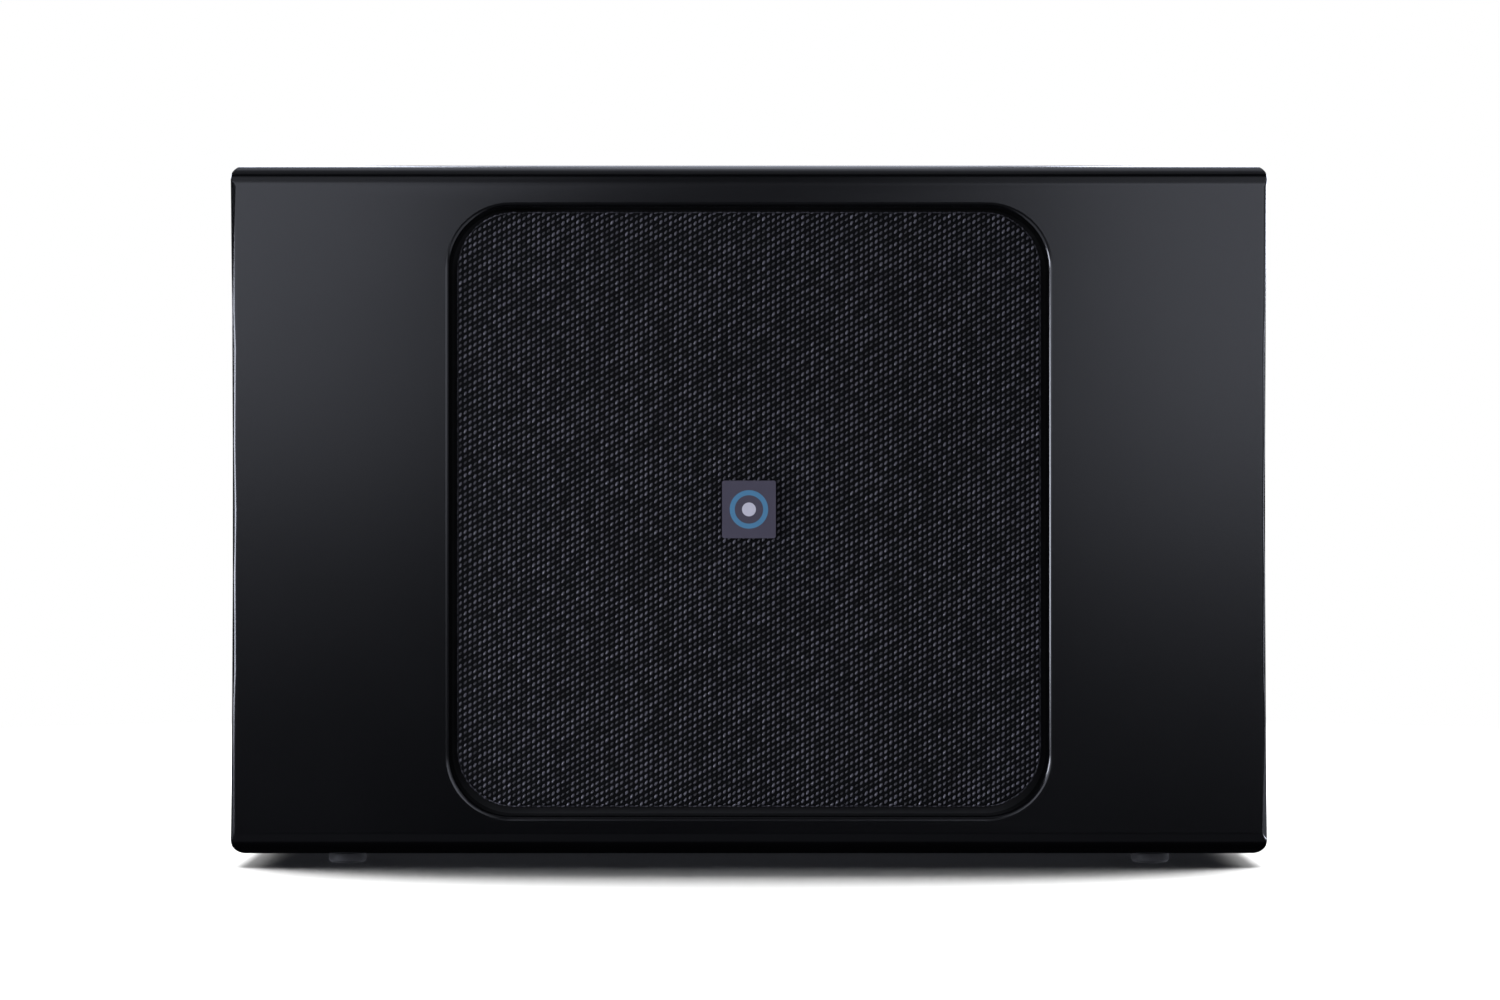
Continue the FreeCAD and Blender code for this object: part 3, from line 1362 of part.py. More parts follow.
def make_phase_switch():
    """A lever that slides between two places, in its switch body."""
    x, z = amp_at(-S.knob_x, S.control_z)
    lever = body("phase_lever")
    stem = Drawing(lever, "XZ_Plane", LEDGE_Y - S.lever_in).rectangle(x, z, S.lever_w, S.lever_h)
    pad(lever, stem, S.amp_t + S.lever_in + S.lever_proud)
    dress(lever, "Fillet", S.lever_h / 5, edge_at("Y", PLATE_Y + S.lever_proud))
    bodies = body("switch_bodies")
    middle, play = x + S.lever_travel / 2, S.shaft_play * 2
    slot_w, slot_h = S.lever_w + S.lever_travel + play, S.lever_h + play
    margin = S.slide_margin * 2
    case = Drawing(bodies, "XZ_Plane", CONTROL_Y)
    pad(bodies, case.rectangle(middle, z, slot_w + margin, slot_h + margin), S.pot_t)
    slot = Drawing(bodies, "XZ_Plane", LEDGE_Y + S.cut_extra).rectangle(middle, z, slot_w, slot_h)
    pocket(bodies, slot, S.pot_t - S.slide_floor + S.cut_extra, -1)
    tact = Drawing(bodies, "XZ_Plane", CONTROL_Y)
    tact.rectangle(*amp_at(S.knob_x, S.control_z), S.tact_w, S.tact_w)
    pad(bodies, tact, S.pot_t - S.button_in - S.button_travel - S.tact_gap)


def make_pair_button():
    x, z = amp_at(S.knob_x, S.control_z)
    top = PLATE_Y + S.button_proud
    button = body("pair_button")
    cap = Drawing(button, "XZ_Plane", top).circle(x, z, S.button_r)
    pad(button, cap, S.button_proud + S.amp_t + S.button_in, -1)
    dress(button, "Fillet", S.button_r / 6, edge_at("Y", top))


def make_status_led():
    led = body("status_led")
    dome = Drawing(led, "XZ_Plane", CONTROL_Y).circle(*amp_at(S.led_x, S.control_z), S.led_r)
    pad(led, dome, S.pot_t + S.amp_t + S.led_proud)
    dress(led, "Fillet", S.led_r * 0.6, edge_at("Y", PLATE_Y + S.led_proud))


def make_control_board():
    middle = MID_Z + (S.knob_z + S.control_z) / 2
    board = box(
        "control_board", S.amp_x, CONTROL_Y - S.board_t, middle, S.control_w, S.board_t, S.control_h
    )
    piece(board, "control_board")


def make_boards():
    board = body("main_board")
    outline = Drawing(board, "XZ_Plane", BOARD_Y)
    pad(board, outline.rectangle(*amp_at(0, S.main_z), S.main_w, S.main_h), S.board_t, -1)
    posts = body("board_standoffs")
    holes = Drawing(board, "XZ_Plane", BOARD_Y + S.cut_extra)
    post, stud = Drawing(posts, "XZ_Plane", BOARD_Y), Drawing(posts, "XZ_Plane", BOARD_Y)
    for x, z in standoff_places():
        holes.circle(x, z, S.stud_r + S.stud_play)
        post.circle(x, z, S.post_r)
        stud.circle(x, z, S.stud_r)
    pocket(board, holes, S.board_t + S.cut_extra * 2, -1)
    pad(posts, post, LEDGE_Y - BOARD_Y)
    pad(posts, stud, S.board_t * 2, -1)


def make_supply():
    """The transformer and the filter capacitors, on the inner side of the main board."""
    under, centre = BOARD_Y - S.board_t, amp_at(S.core_x, S.core_z)
    coil = body("transformer")
    core = Drawing(coil, "XZ_Plane", under).rectangle(*centre, S.core_w, S.core_h)
    pad(coil, core, S.core_d, -1)
    bobbin = Drawing(coil, "XZ_Plane", under - (S.core_d - S.bobbin_d) / 2)
    pad(coil, bobbin.rectangle(*centre, S.bobbin_w, S.bobbin_h), S.bobbin_d, -1)
    cans = body("filter_capacitors")
    ends = Drawing(cans, "XZ_Plane", under)
    for up in (-1, 1):
        ends.circle(*amp_at(S.can_x, S.can_z + S.can_pitch / 2 * up), S.can_r)
    pad(cans, ends, S.can_len, -1)
    dress(cans, "Fillet", S.can_r / 10, edge_at("Y", under - S.can_len))


def make_line_inputs():
    shells, inserts = body("line_input_shells"), body("line_input_inserts")
    bore = S.rca_r - S.rca_wall
    layers = [
        (S.rca_r, PLATE_Y, S.rca_base_t + S.rca_len, 1),
        (S.rca_base_r, PLATE_Y, S.rca_base_t, 1),
        (S.rca_base_r - S.rca_neck, PLATE_Y, S.amp_t, -1),
    ]
    spots = [amp_at(S.rca_x + S.rca_pitch * i, S.jack_z) for i in range(2)]
    for radius, start, length, towards in layers:
        ring = Drawing(shells, "XZ_Plane", start)
        for x, z in spots:
            ring.circle(x, z, radius)
        pad(shells, ring, length, towards)
    cut = Drawing(shells, "XZ_Plane", LEDGE_Y - S.cut_extra)
    core, block = Drawing(inserts, "XZ_Plane", LEDGE_Y), Drawing(inserts, "XZ_Plane", LEDGE_Y)
    hole = Drawing(inserts, "XZ_Plane", LEDGE_Y)
    for x, z in spots:
        cut.circle(x, z, bore)
        core.circle(x, z, bore)
        block.rectangle(x, z, S.rca_base_r * 2, S.rca_base_r * 2)
        hole.circle(x, z, S.rca_pin_r)
    pocket(shells, cut, S.amp_t + S.rca_base_t + S.rca_len + S.cut_extra * 2)
    pad(inserts, core, S.amp_t + S.rca_base_t + S.rca_len - S.cut_extra)
    pad(inserts, block, S.jack_depth, -1)
    pocket(inserts, hole, S.amp_t + S.rca_base_t + S.rca_len)


def make_network_socket():
    made = body("network_socket")
    outline = Drawing(made, "XZ_Plane", BOARD_Y).rectangle(*amp_at(S.net_x, S.jack_z), S.net_w, S.net_h)
    pad(made, outline, S.jack_depth + S.amp_t + S.net_proud)
    mouth = Drawing(made, "XZ_Plane", PLATE_Y + S.net_proud + S.cut_extra)
    mouth.rectangle(*amp_at(S.net_x, S.jack_z + S.net_proud), S.net_cavity_w, S.net_cavity_h)
    pocket(made, mouth, S.net_cavity_d + S.cut_extra, -1)
    latch = Drawing(made, "XZ_Plane", PLATE_Y + S.net_proud + S.cut_extra)
    latch.rectangle(*amp_at(S.net_x, S.jack_z - S.net_cavity_h / 2), S.net_latch_w, S.net_latch_h)
    pocket(made, latch, S.net_cavity_d * 0.7 + S.cut_extra, -1)


def blade_places():
    live = [(S.blade_x * side, S.blade_z) for side in (-1, 1)]
    return [amp_at(S.inlet_x + x, S.power_z + z) for x, z in live + [(size_of(0), S.earth_z)]]


def make_power_inlet():
    made = body("power_inlet")
    x, z = amp_at(S.inlet_x, S.power_z)
    rim = Drawing(made, "XZ_Plane", PLATE_Y)
    over = S.inlet_rim * 2
    pad(made, rim.rounded(x, z, S.inlet_w + over, S.inlet_h + over, S.inlet_rim_t), S.inlet_rim_t)
    shell = Drawing(made, "XZ_Plane", PLATE_Y).rectangle(x, z, S.inlet_w, S.inlet_h)
    pad(made, shell, S.inlet_depth + S.inlet_wall, -1)
    wall = S.inlet_wall * 2
    cavity = Drawing(made, "XZ_Plane", PLATE_Y + S.inlet_rim_t + S.cut_extra)
    cavity.rounded(x, z, S.inlet_w - wall, S.inlet_h - wall, S.inlet_corner_r)
    pocket(made, cavity, S.inlet_rim_t + S.inlet_depth - S.inlet_wall + S.cut_extra, -1)
    slots = Drawing(made, "XZ_Plane", PLATE_Y - S.inlet_depth + S.inlet_wall + S.cut_extra)
    blades = body("power_inlet_blades")
    bars = Drawing(blades, "XZ_Plane", PLATE_Y - S.inlet_depth - S.blade_tail)
    for bx, bz in blade_places():
        slots.rectangle(bx, bz, S.blade_w + S.pilot_play * 2, S.blade_h + S.pilot_play * 2)
        bars.rectangle(bx, bz, S.blade_w, S.blade_h)
    pocket(made, slots, S.inlet_wall * 2 + S.cut_extra * 2, -1)
    pad(blades, bars, S.inlet_depth + S.blade_tail - S.cut_extra)


def make_power_switch():
    """A rocker on two pivot pins in its frame. At rest its lower half is pressed in."""
    x, z = amp_at(S.switch_x, S.power_z)
    made = body("power_switch_frame")
    rim, rim_t = S.switch_rim * 2, S.switch_rim_t
    flange = Drawing(made, "XZ_Plane", PLATE_Y)
    pad(made, flange.rounded(x, z, S.switch_w + rim, S.switch_h + rim, rim_t), rim_t)
    case = Drawing(made, "XZ_Plane", PLATE_Y).rectangle(x, z, S.switch_w, S.switch_h)
    case_depth = S.switch_h / 2 + S.rocker_pivot_depth + S.switch_floor
    pad(made, case, case_depth, -1)
    inner_w, inner_h = S.switch_w - S.switch_wall * 2, S.switch_h - S.switch_wall * 2
    cavity = Drawing(made, "XZ_Plane", PLATE_Y + rim_t + S.cut_extra).rectangle(x, z, inner_w, inner_h)
    pocket(made, cavity, case_depth + rim_t + S.cut_extra - S.switch_wall, -1)
    pivot_y = PLATE_Y - S.rocker_pivot_depth
    half_w = inner_w / 2 - S.rocker_play
    reach = half_w + S.rocker_play + S.switch_wall * 0.7
    holes = Drawing(made, "YZ_Plane", x - reach).circle(pivot_y, z, S.rocker_pin_r + S.shaft_play)
    pocket(made, holes, reach * 2)
    make_rocker(x, pivot_y, z, half_w, inner_h / 2 - S.rocker_play, reach - S.rocker_play)


def make_rocker(x, pivot_y, z, half_w, r, pin_reach):
    """A rocker whose two faces meet in a shallow V, with a round back about its pivot."""
    rocker = body("power_rocker", x, pivot_y, z)
    tilt = Rotation(Vector(1, 0, 0), -S.rocker_tilt.value)
    rocker.Placement = Placement(rocker.Placement.Base, tilt)
    slope = round(math.tan(math.radians(S.rocker_tilt.value)), 6)
    shoulder = math.radians(S.rocker_shoulder.value)
    end_z, end_rise = r * round(math.cos(shoulder), 6), r * round(math.sin(shoulder), 6)
    rise = S.rocker_rise
    profile = Drawing(rocker, "YZ_Plane", -half_w)
    profile.loop(
        [
            (rise, 0),
            (rise + end_z * slope, end_z),
            (end_rise, end_z),
            ("arc", 0, 0, 1),
            (end_rise, -end_z),
            (rise + end_z * slope, -end_z),
        ]
    )
    pad(rocker, profile, half_w * 2)
    pins = Drawing(rocker, "YZ_Plane", -pin_reach).circle(0, 0, S.rocker_pin_r)
    pad(rocker, pins, pin_reach * 2)


def make_amplifier():
    make_amp_plate()
    screws(
        "amp_plate_screws", "XZ_Plane", amp_screw_places(), PLATE_Y, S.amp_head_r, S.amp_shank_r,
        S.amp_t + S.panel_t - S.amp_recess - S.panel_play, -1, S.amp_head_t,
    )
    make_heatsink()
    make_controls()
    make_phase_switch()
    make_pair_button()
    make_status_led()
    make_control_board()
    make_boards()
    make_supply()
    make_line_inputs()
    make_network_socket()
    make_power_inlet()
    make_power_switch()


# ---------------------------------------------------------------------------------------------
# Port, leads and wadding
# ---------------------------------------------------------------------------------------------


def make_port():
    """A flared mouth flush with the rear face, a sleeve, an elbow and a riser, in one moulding."""
    made = body("port_tube", S.port_x, 0, S.port_z)
    inner, outer = S.port_r, S.port_r + S.port_wall
    flare = S.port_flare
    end = REAR_Y - S.port_sleeve
    flange_back = REAR_Y - S.port_flange_t
    mouth = Drawing(made, "XY_Plane").loop(
        [
            (inner, end),
            (outer, end),
            (outer, flange_back - S.port_flange_t * 2),
            (outer + S.port_flange_t, flange_back),
            (S.port_flange_r, flange_back),
            (S.port_flange_r, REAR_Y),
            (inner + flare, REAR_Y),
            ("arc", inner + flare, REAR_Y - flare, 1),
            (inner, REAR_Y - flare),
        ]
    )
    revolve(made, mouth)
    section = Drawing(made, "XZ_Plane", end).circle(0, 0, outer).circle(0, 0, inner)
    spine = made.newObject("Sketcher::SketchObject", "port_spine")
    plane = [f for f in made.Origin.OriginFeatures if f.Role == "YZ_Plane"][0]
    spine.AttachmentSupport = [(plane, "")]
    spine.MapMode = "FlatFace"
    bend = S.port_bend_r
    elbow_centre = Vector(end.value, bend.value, 0)
    ring = Part.Circle(elbow_centre, Vector(0, 0, 1), bend.value)
    elbow = spine.addGeometry(Part.ArcOfCircle(ring, math.pi, math.pi * 1.5))
    top = bend + S.port_riser
    low, high = [Vector((end - bend).value, level.value, 0) for level in (bend, top)]
    riser = spine.addGeometry(Part.LineSegment(low, high))
    bound = [
        ("DistanceX", elbow, 2, end),
        ("DistanceY", elbow, 2, size_of(0)),
        ("DistanceX", elbow, 1, end - bend),
        ("DistanceY", elbow, 1, bend),
        ("DistanceY", elbow, 3, bend),
        ("DistanceX", riser, 2, end - bend),
        ("DistanceY", riser, 2, top),
    ]
    for kind, edge, where, size in bound:
        number = spine.addConstraint(Sketcher.Constraint(kind, -1, 1, edge, where, size.value))
        if "sizes." in size.text:
            spine.setExpression(f"Constraints[{number}]", size.text)
    spine.addConstraint(Sketcher.Constraint("Coincident", elbow, 1, riser, 1))
    doc.recompute()
    pipe = made.newObject("PartDesign::AdditivePipe", "port_pipe")
    pipe.Profile = section.sketch
    pipe.Spine = (spine, ["Edge1", "Edge2"])
    made.Tip = pipe
    doc.recompute()
    seats = Drawing(made, "XZ_Plane", REAR_Y + S.cut_extra)
    holes = Drawing(made, "XZ_Plane", REAR_Y + S.cut_extra)
    for x, z in port_screw_places():
        seats.circle(x - S.port_x, z - S.port_z, S.port_head_r + S.through_play)
        holes.circle(x - S.port_x, z - S.port_z, S.port_shank_r + S.through_play)
    pocket(made, seats, S.port_head_t + S.cut_extra, -1)
    pocket(made, holes, S.port_flange_t + S.cut_extra * 2, -1)
    screws(
        "port_screws", "XZ_Plane", port_screw_places(), REAR_Y - S.port_head_t, S.port_head_r,
        S.port_shank_r, S.port_screw_len, -1, S.port_head_t,
    )


def make_leads():
    """The two speaker leads, from the main board through the left brace to the driver."""
    start_x, start_z = amp_at(S.lead_x, S.lead_z)
    end_x = -(S.basket_neck_r + S.glue_gap / 2 + S.terminal_t + S.lug_len)
    end_y = terminal_front() + S.terminal_d / 2
    board_back, leg = BOARD_Y - S.board_t, S.lead_leg
    leads = []
    for up in (-1, 1):
        shift = S.lead_pitch / 2 * up
        route = [
            (start_x + shift, board_back, start_z),
            (start_x + shift, board_back - leg, start_z),
            (start_x + shift + leg / 2, board_back - leg * 2, start_z - leg / 2),
            (start_x + leg * 1.6, board_back - leg * 2.6, start_z - leg + shift),
            (start_x + leg * 2.9, end_y + S.lug_t, MID_Z + shift + S.lug_t * 4),
            (end_x - leg * 0.75, end_y, MID_Z + shift),
            (end_x, end_y, MID_Z + shift),
        ]
        leads.append(tube(route, S.lead_r))
    shaped("speaker_leads", Part.makeCompound(leads))


def make_wadding():
    """Two plain blocks of wadding, above and below the magnet."""
    centre_y = BAFFLE_REAR_Y + S.pad_gap
    offset = INNER_H / 2 - S.pad_t / 2 - S.panel_play
    pads = [
        box("wadding", 0, centre_y, MID_Z + offset * up, S.pad_w, S.pad_d, S.pad_t) for up in (-1, 1)
    ]
    group("wadding_pads", pads)


def write_parts():
    """Checks every object, then writes each sub-part's shape to its own STEP file."""
    doc.recompute()
    failed = [o.Name for o in doc.Objects if "Invalid" in o.State or "Error" in o.State]
    if failed:
        raise RuntimeError(f"these objects failed: {failed}")
    for thing in PIECES:
        shape = thing.Shape
        if shape.isNull() or not shape.isValid() or not shape.Solids:
            raise RuntimeError(f"{thing.Label} has no valid solid")
    os.makedirs("parts", exist_ok=True)
    for thing in PIECES:
        thing.Shape.exportStep(f"parts/{thing.Label}.step")
    print(len(PIECES), "sub-parts written")


make_structure()
make_grille_frame()
make_grille_cloth()
make_badge()
make_driver()
make_amplifier()
make_port()
make_leads()
make_wadding()
write_parts()
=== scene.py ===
# %% [markdown]
# # A slim subwoofer, dressed around its frame
# The imported model already holds every board, screw and moving part at its real size. This script
# adds what a camera sees: a woven grille cloth, lacquer, rubber, plastics and metals, and then a
# plain studio. It loads the model first.

# %% Load the frame
import math
import bmesh
import bpy
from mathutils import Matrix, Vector
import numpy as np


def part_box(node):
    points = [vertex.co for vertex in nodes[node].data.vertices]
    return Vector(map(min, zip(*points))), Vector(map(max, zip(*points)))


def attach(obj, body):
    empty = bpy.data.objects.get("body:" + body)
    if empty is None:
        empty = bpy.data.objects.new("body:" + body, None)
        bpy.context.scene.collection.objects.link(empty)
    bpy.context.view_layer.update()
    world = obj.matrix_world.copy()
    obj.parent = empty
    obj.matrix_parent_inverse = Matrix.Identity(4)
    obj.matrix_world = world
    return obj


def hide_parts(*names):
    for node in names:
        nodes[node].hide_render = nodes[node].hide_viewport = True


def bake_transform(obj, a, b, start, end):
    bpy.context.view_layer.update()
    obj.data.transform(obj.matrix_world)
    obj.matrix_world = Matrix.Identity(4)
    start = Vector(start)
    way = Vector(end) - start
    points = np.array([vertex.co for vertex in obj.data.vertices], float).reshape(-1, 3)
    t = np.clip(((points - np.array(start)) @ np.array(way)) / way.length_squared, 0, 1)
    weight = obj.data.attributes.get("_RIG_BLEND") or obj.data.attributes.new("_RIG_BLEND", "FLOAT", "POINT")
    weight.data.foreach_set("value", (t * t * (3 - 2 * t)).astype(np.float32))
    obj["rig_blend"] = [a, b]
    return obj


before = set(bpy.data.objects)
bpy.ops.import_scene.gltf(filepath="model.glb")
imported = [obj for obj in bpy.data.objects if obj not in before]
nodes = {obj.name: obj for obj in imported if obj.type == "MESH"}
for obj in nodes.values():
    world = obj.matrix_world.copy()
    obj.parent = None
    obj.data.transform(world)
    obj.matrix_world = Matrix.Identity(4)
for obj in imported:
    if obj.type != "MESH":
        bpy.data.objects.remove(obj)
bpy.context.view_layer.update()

MM = 0.001
print("nodes:", len(nodes))

# %% [markdown]
# ## Camera
# A product picture of a loudspeaker is taken straight on, with a long lens, so that the box looks
# square and its sides vanish behind the front. The lens and the distance belong together: a longer
# lens from further away flattens the box more.

# %% Camera
LENS_MM, SENSOR_MM = 84.9, 36.0
FRONT_DISTANCE = 1.840
CAMERA_X, CAMERA_Z = 0.00055, 0.1909
front_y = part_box("cabinet")[0].y

camera = bpy.data.objects.new("camera", bpy.data.cameras.new("camera"))
camera.data.lens = LENS_MM
camera.data.sensor_width = SENSOR_MM
camera.location = (CAMERA_X, front_y - FRONT_DISTANCE, CAMERA_Z)
camera.rotation_euler = (math.radians(90), 0, 0)
bpy.context.scene.collection.objects.link(camera)
bpy.context.scene.camera = camera
print("front face at y =", round(front_y, 4), "camera at", [round(v, 3) for v in camera.location])

# %% [markdown]
# ## Writing node graphs as sums
# A material is a graph of nodes, and so is a Geometry Nodes tree. Joining Math nodes by hand takes
# four lines each, so one small class wraps a socket and lets `+`, `-`, `*` and `/` add them. The
# swapped forms let a plain number stand on the left, as in `1 - shade`.

# %% Wires
def operator(operation, swapped=False):
    """A method of Wire that adds one Math node."""
    def method(self, *others):
        values = (*others, self) if swapped else (self, *others)
        return self.graph.add("ShaderNodeMath", {"operation": operation}, *values)
    return method


class Wire:
    """An output socket that understands arithmetic. Numbers and other wires may stand on either side."""

    __add__, __radd__ = operator("ADD"), operator("ADD", swapped=True)
    __sub__, __rsub__ = operator("SUBTRACT"), operator("SUBTRACT", swapped=True)
    __mul__, __rmul__ = operator("MULTIPLY"), operator("MULTIPLY", swapped=True)
    __truediv__, __rtruediv__ = operator("DIVIDE"), operator("DIVIDE", swapped=True)
    least, most = operator("MINIMUM"), operator("MAXIMUM")
    above, below = operator("GREATER_THAN"), operator("LESS_THAN")
    sine, cosine, floor = operator("SINE"), operator("COSINE"), operator("FLOOR")

    def __init__(self, graph, socket):
        self.graph, self.socket = graph, socket

    def clip(self):
        return self.graph.add("ShaderNodeClamp", {}, self)


# %% [markdown]
# Every other node comes from one method. It makes the settings first, because they decide which
# sockets a node has, and then sets or links the sockets. A setting can leave several sockets with
# one name, of which only one is enabled, so the enabled one is taken.

# %% Graphs
class Graph:
    """Nodes and links. Each node gets its settings first, then its sockets in order or by name."""

    def feed(self, socket, value):
        if isinstance(value, Wire):
            self.tree.links.new(value.socket, socket)
        elif socket.type == "RGBA" and len(value) == 3:
            socket.default_value = (*value, 1.0)
        else:
            socket.default_value = value

    def add(self, kind, settings, *inputs, output=None, **named):
        node = self.tree.nodes.new(kind)
        for name, value in settings.items():
            setattr(node, name, value)
        for socket, value in zip(node.inputs, inputs):
            self.feed(socket, value)
        for name, value in named.items():
            label = name.replace("_", " ")
            self.feed(next(s for s in node.inputs if s.name == label and s.enabled), value)
        if output is None:
            return Wire(self, next(s for s in node.outputs if s.enabled))
        return Wire(self, node.outputs[output])

    def axes(self, where):
        """The three numbers of a place, as wires."""
        node = self.add("ShaderNodeSeparateXYZ", {}, where).socket.node
        return [Wire(self, socket) for socket in node.outputs]


# %% [markdown]
# A finish is the graph of one material, with its shader. Its patterns read places in metres, so a
# weave or a grain keeps its real size on every piece.

# %% Finishes
class Finish(Graph):
    """One material. Its shader's sockets are set or linked by name."""

    def __init__(self, name, **shader):
        self.material = bpy.data.materials.new(name)
        self.material.use_nodes = True
        self.tree = self.material.node_tree
        self.shader = self.tree.nodes["Principled BSDF"]
        self.set(**shader)

    def set(self, **values):
        for name, value in values.items():
            self.feed(self.shader.inputs[name.replace("_", " ")], value)
        return self

    def place(self, scale=1.0, turn=(0, 0, 0), centre=(0, 0, 0)):
        """Object coordinates in metres, moved, turned and scaled."""
        raw = self.add("ShaderNodeTexCoord", {}, output="Object")
        size = (scale,) * 3 if isinstance(scale, (int, float)) else scale
        moved = tuple(-c * s for c, s in zip(centre, size))
        return self.add("ShaderNodeMapping", {}, raw, moved, turn, size)

    def noise(self, where, scale, detail=2.0, rough=0.5):
        """Clouds or grain. scale is the number of blotches in a metre."""
        inputs = {"Vector": where, "Scale": scale, "Detail": detail, "Roughness": rough}
        return self.add("ShaderNodeTexNoise", {"noise_dimensions": "3D"}, **inputs)

    def blend(self, share, a, b):
        """A colour between two colours."""
        return self.add("ShaderNodeMix", {"data_type": "RGBA"}, Factor=share, A=a, B=b)

    def bump(self, height, depth):
        """A surface relief. depth is the height, in metres, of a full step from 0 to 1."""
        return self.set(Normal=self.add("ShaderNodeBump", {}, Strength=1.0, Distance=depth, Height=height))


def paint(finish, *names):
    """Gives a finish to CAD nodes."""
    for name in names:
        mesh = nodes[name].data
        mesh.materials.clear()
        mesh.materials.append(finish.material)
        for polygon in mesh.polygons:
            polygon.material_index = 0


# %% [markdown]
# ## Lacquered board
# The cabinet is fibreboard with a satin black lacquer. Sprayed lacquer is never perfectly even: it
# keeps a faint orange-peel relief a couple of millimetres across, and its gloss drifts a little.
# Both come from noise in real metres, so they stay the same size on every board. The cabinet itself
# gets its lacquer further down, where it is shaded anew.

# %% Lacquer
GLOSS_DRIFT = 0.03


def lacquer(name, colour, gloss, peel):
    """Sprayed lacquer: gloss is its roughness, and peel the height of its relief in metres."""
    made = Finish(name, IOR=1.5)
    where = made.place()
    cloud = made.noise(where, 9.0, 3.0)
    grain = made.noise(where, 900.0, 2.0)
    made.set(Base_Color=made.blend(cloud, colour, tuple(c * 1.6 for c in colour)))
    made.set(Roughness=(gloss + (cloud - 0.5) * GLOSS_DRIFT + (grain - 0.5) * GLOSS_DRIFT).clip())
    waves = made.noise(where, 420.0, 1.0)
    return made.bump(waves * 0.7 + grain * 0.3, peel)


satin = lacquer("satin_lacquer", (0.0009, 0.0009, 0.0011), gloss=0.18, peel=0.000006)
inner = lacquer("matt_lacquer", (0.0022, 0.0022, 0.0024), gloss=0.6, peel=0.00003)
paint(inner, "baffle_board", "rear_panel")


def fibreboard():
    """Bare board inside: brown fibres, lighter and darker, with short streaks."""
    made = Finish("bare_fibreboard", Roughness=0.85)
    where = made.place((400, 400, 90))
    fibre = made.noise(where, 1.0, 4.0, 0.7)
    made.set(Base_Color=made.blend(fibre, (0.23, 0.14, 0.075), (0.47, 0.33, 0.2)))
    return made.bump(fibre, 0.0002)


paint(fibreboard(), "brace_left", "brace_right", "rear_mounting_frame")
print("boards painted")

# %% [markdown]
# ## Rubber, plastic and metal
# One function per family keeps the materials short. Each reads real metres, and each varies in
# colour, gloss and relief, because a single flat value looks like a toy. Numbers after the colour
# are the gloss, the grains in a metre and the height of the relief in metres.

# %% Rubber and plastics
CLOUD_PALER = 1.5


def moulded(name, colour, gloss, grain_scale=1500.0, relief=0.00004):
    """A moulded plastic or rubber skin: fine spark-eroded grain and slight clouding."""
    made = Finish(name)
    where = made.place()
    grain = made.noise(where, grain_scale, 3.0, 0.6)
    cloud = made.noise(where, 35.0, 2.0)
    made.set(Base_Color=made.blend(cloud, colour, tuple(c * CLOUD_PALER for c in colour)))
    made.set(Roughness=(gloss + (grain - 0.5) * 0.2 + (cloud - 0.5) * 0.08).clip())
    return made.bump(grain, relief)


foot_rubber = moulded("foot_rubber", (0.012, 0.012, 0.013), 0.62, 1100.0, 0.00005)
paint(foot_rubber, "foot_front_left", "foot_front_right", "foot_rear_left", "foot_rear_right",
      "grille_sockets")
foam = moulded("seal_foam", (0.02, 0.02, 0.02), 0.95, 2600.0, 0.00025)
paint(foam, "rear_seal", "driver_gasket")
matt_plastic = moulded("matt_black_plastic", (0.012, 0.012, 0.013), 0.5)
paint(matt_plastic, "grille_frame", "power_inlet", "power_switch_frame", "driver_terminals",
      "potentiometers", "switch_bodies", "network_socket", "port_tube")
control_plastic = moulded("control_plastic", (0.02, 0.02, 0.022), 0.42, 1900.0, 0.00002)
paint(control_plastic, "level_knob", "crossover_knob", "phase_lever", "pair_button")
rocker_plastic = moulded("rocker_plastic", (0.014, 0.014, 0.015), 0.2, 900.0, 0.000006)
paint(rocker_plastic, "power_rocker")
print("rubber and plastic painted")

# %% [markdown]
# ## Metals
# Brushed metal is a stretched noise: long in the brushing direction and very short across it. The
# three numbers of a stretch are the changes in a metre along X, Y and Z, so the same number on all
# three gives a plain grain, and a number along Y alone draws the coil's windings.

# %% Metals
LINES_DARKER = 0.72


def brushed(name, colour, gloss, stretch=(4000, 4000, 60), relief=0.000015):
    """A metal with fine lines, darker in their depth, and a slow drift of its gloss."""
    made = Finish(name, Metallic=1.0)
    lines = made.noise(made.place(stretch), 1.0, 2.0)
    cloud = made.noise(made.place(), 40.0, 2.0)
    dark = tuple(c * LINES_DARKER for c in colour)
    made.set(Base_Color=made.blend(lines, dark, colour))
    made.set(Roughness=(gloss + (lines - 0.5) * 0.25 + (cloud - 0.5) * 0.12).clip())
    return made.bump(lines, relief)


black_screw = brushed("black_screw_steel", (0.06, 0.06, 0.065), 0.34, (2500, 2500, 2500))
paint(black_screw, "rear_panel_screws", "amp_plate_screws", "port_screws", "foot_screws", "driver_screws")
anodised = brushed("black_anodised_aluminium", (0.025, 0.025, 0.027), 0.42, (60, 4000, 4000))
paint(anodised, "amp_plate")
paint(brushed("anodised_heatsink", (0.03, 0.03, 0.032), 0.38, (4000, 4000, 50)), "heatsink")
paint(brushed("motor_steel", (0.55, 0.54, 0.52), 0.32, (900, 900, 900)), "top_plate", "pole_yoke")
paint(brushed("brass", (0.72, 0.5, 0.2), 0.26, (1200, 200, 1200)), "wall_inserts", "power_inlet_blades",
      "board_standoffs")
paint(brushed("nickel_plate", (0.66, 0.65, 0.62), 0.18, (1200, 200, 1200)), "line_input_shells")
paint(brushed("former_foil", (0.75, 0.75, 0.74), 0.3), "coil_former")
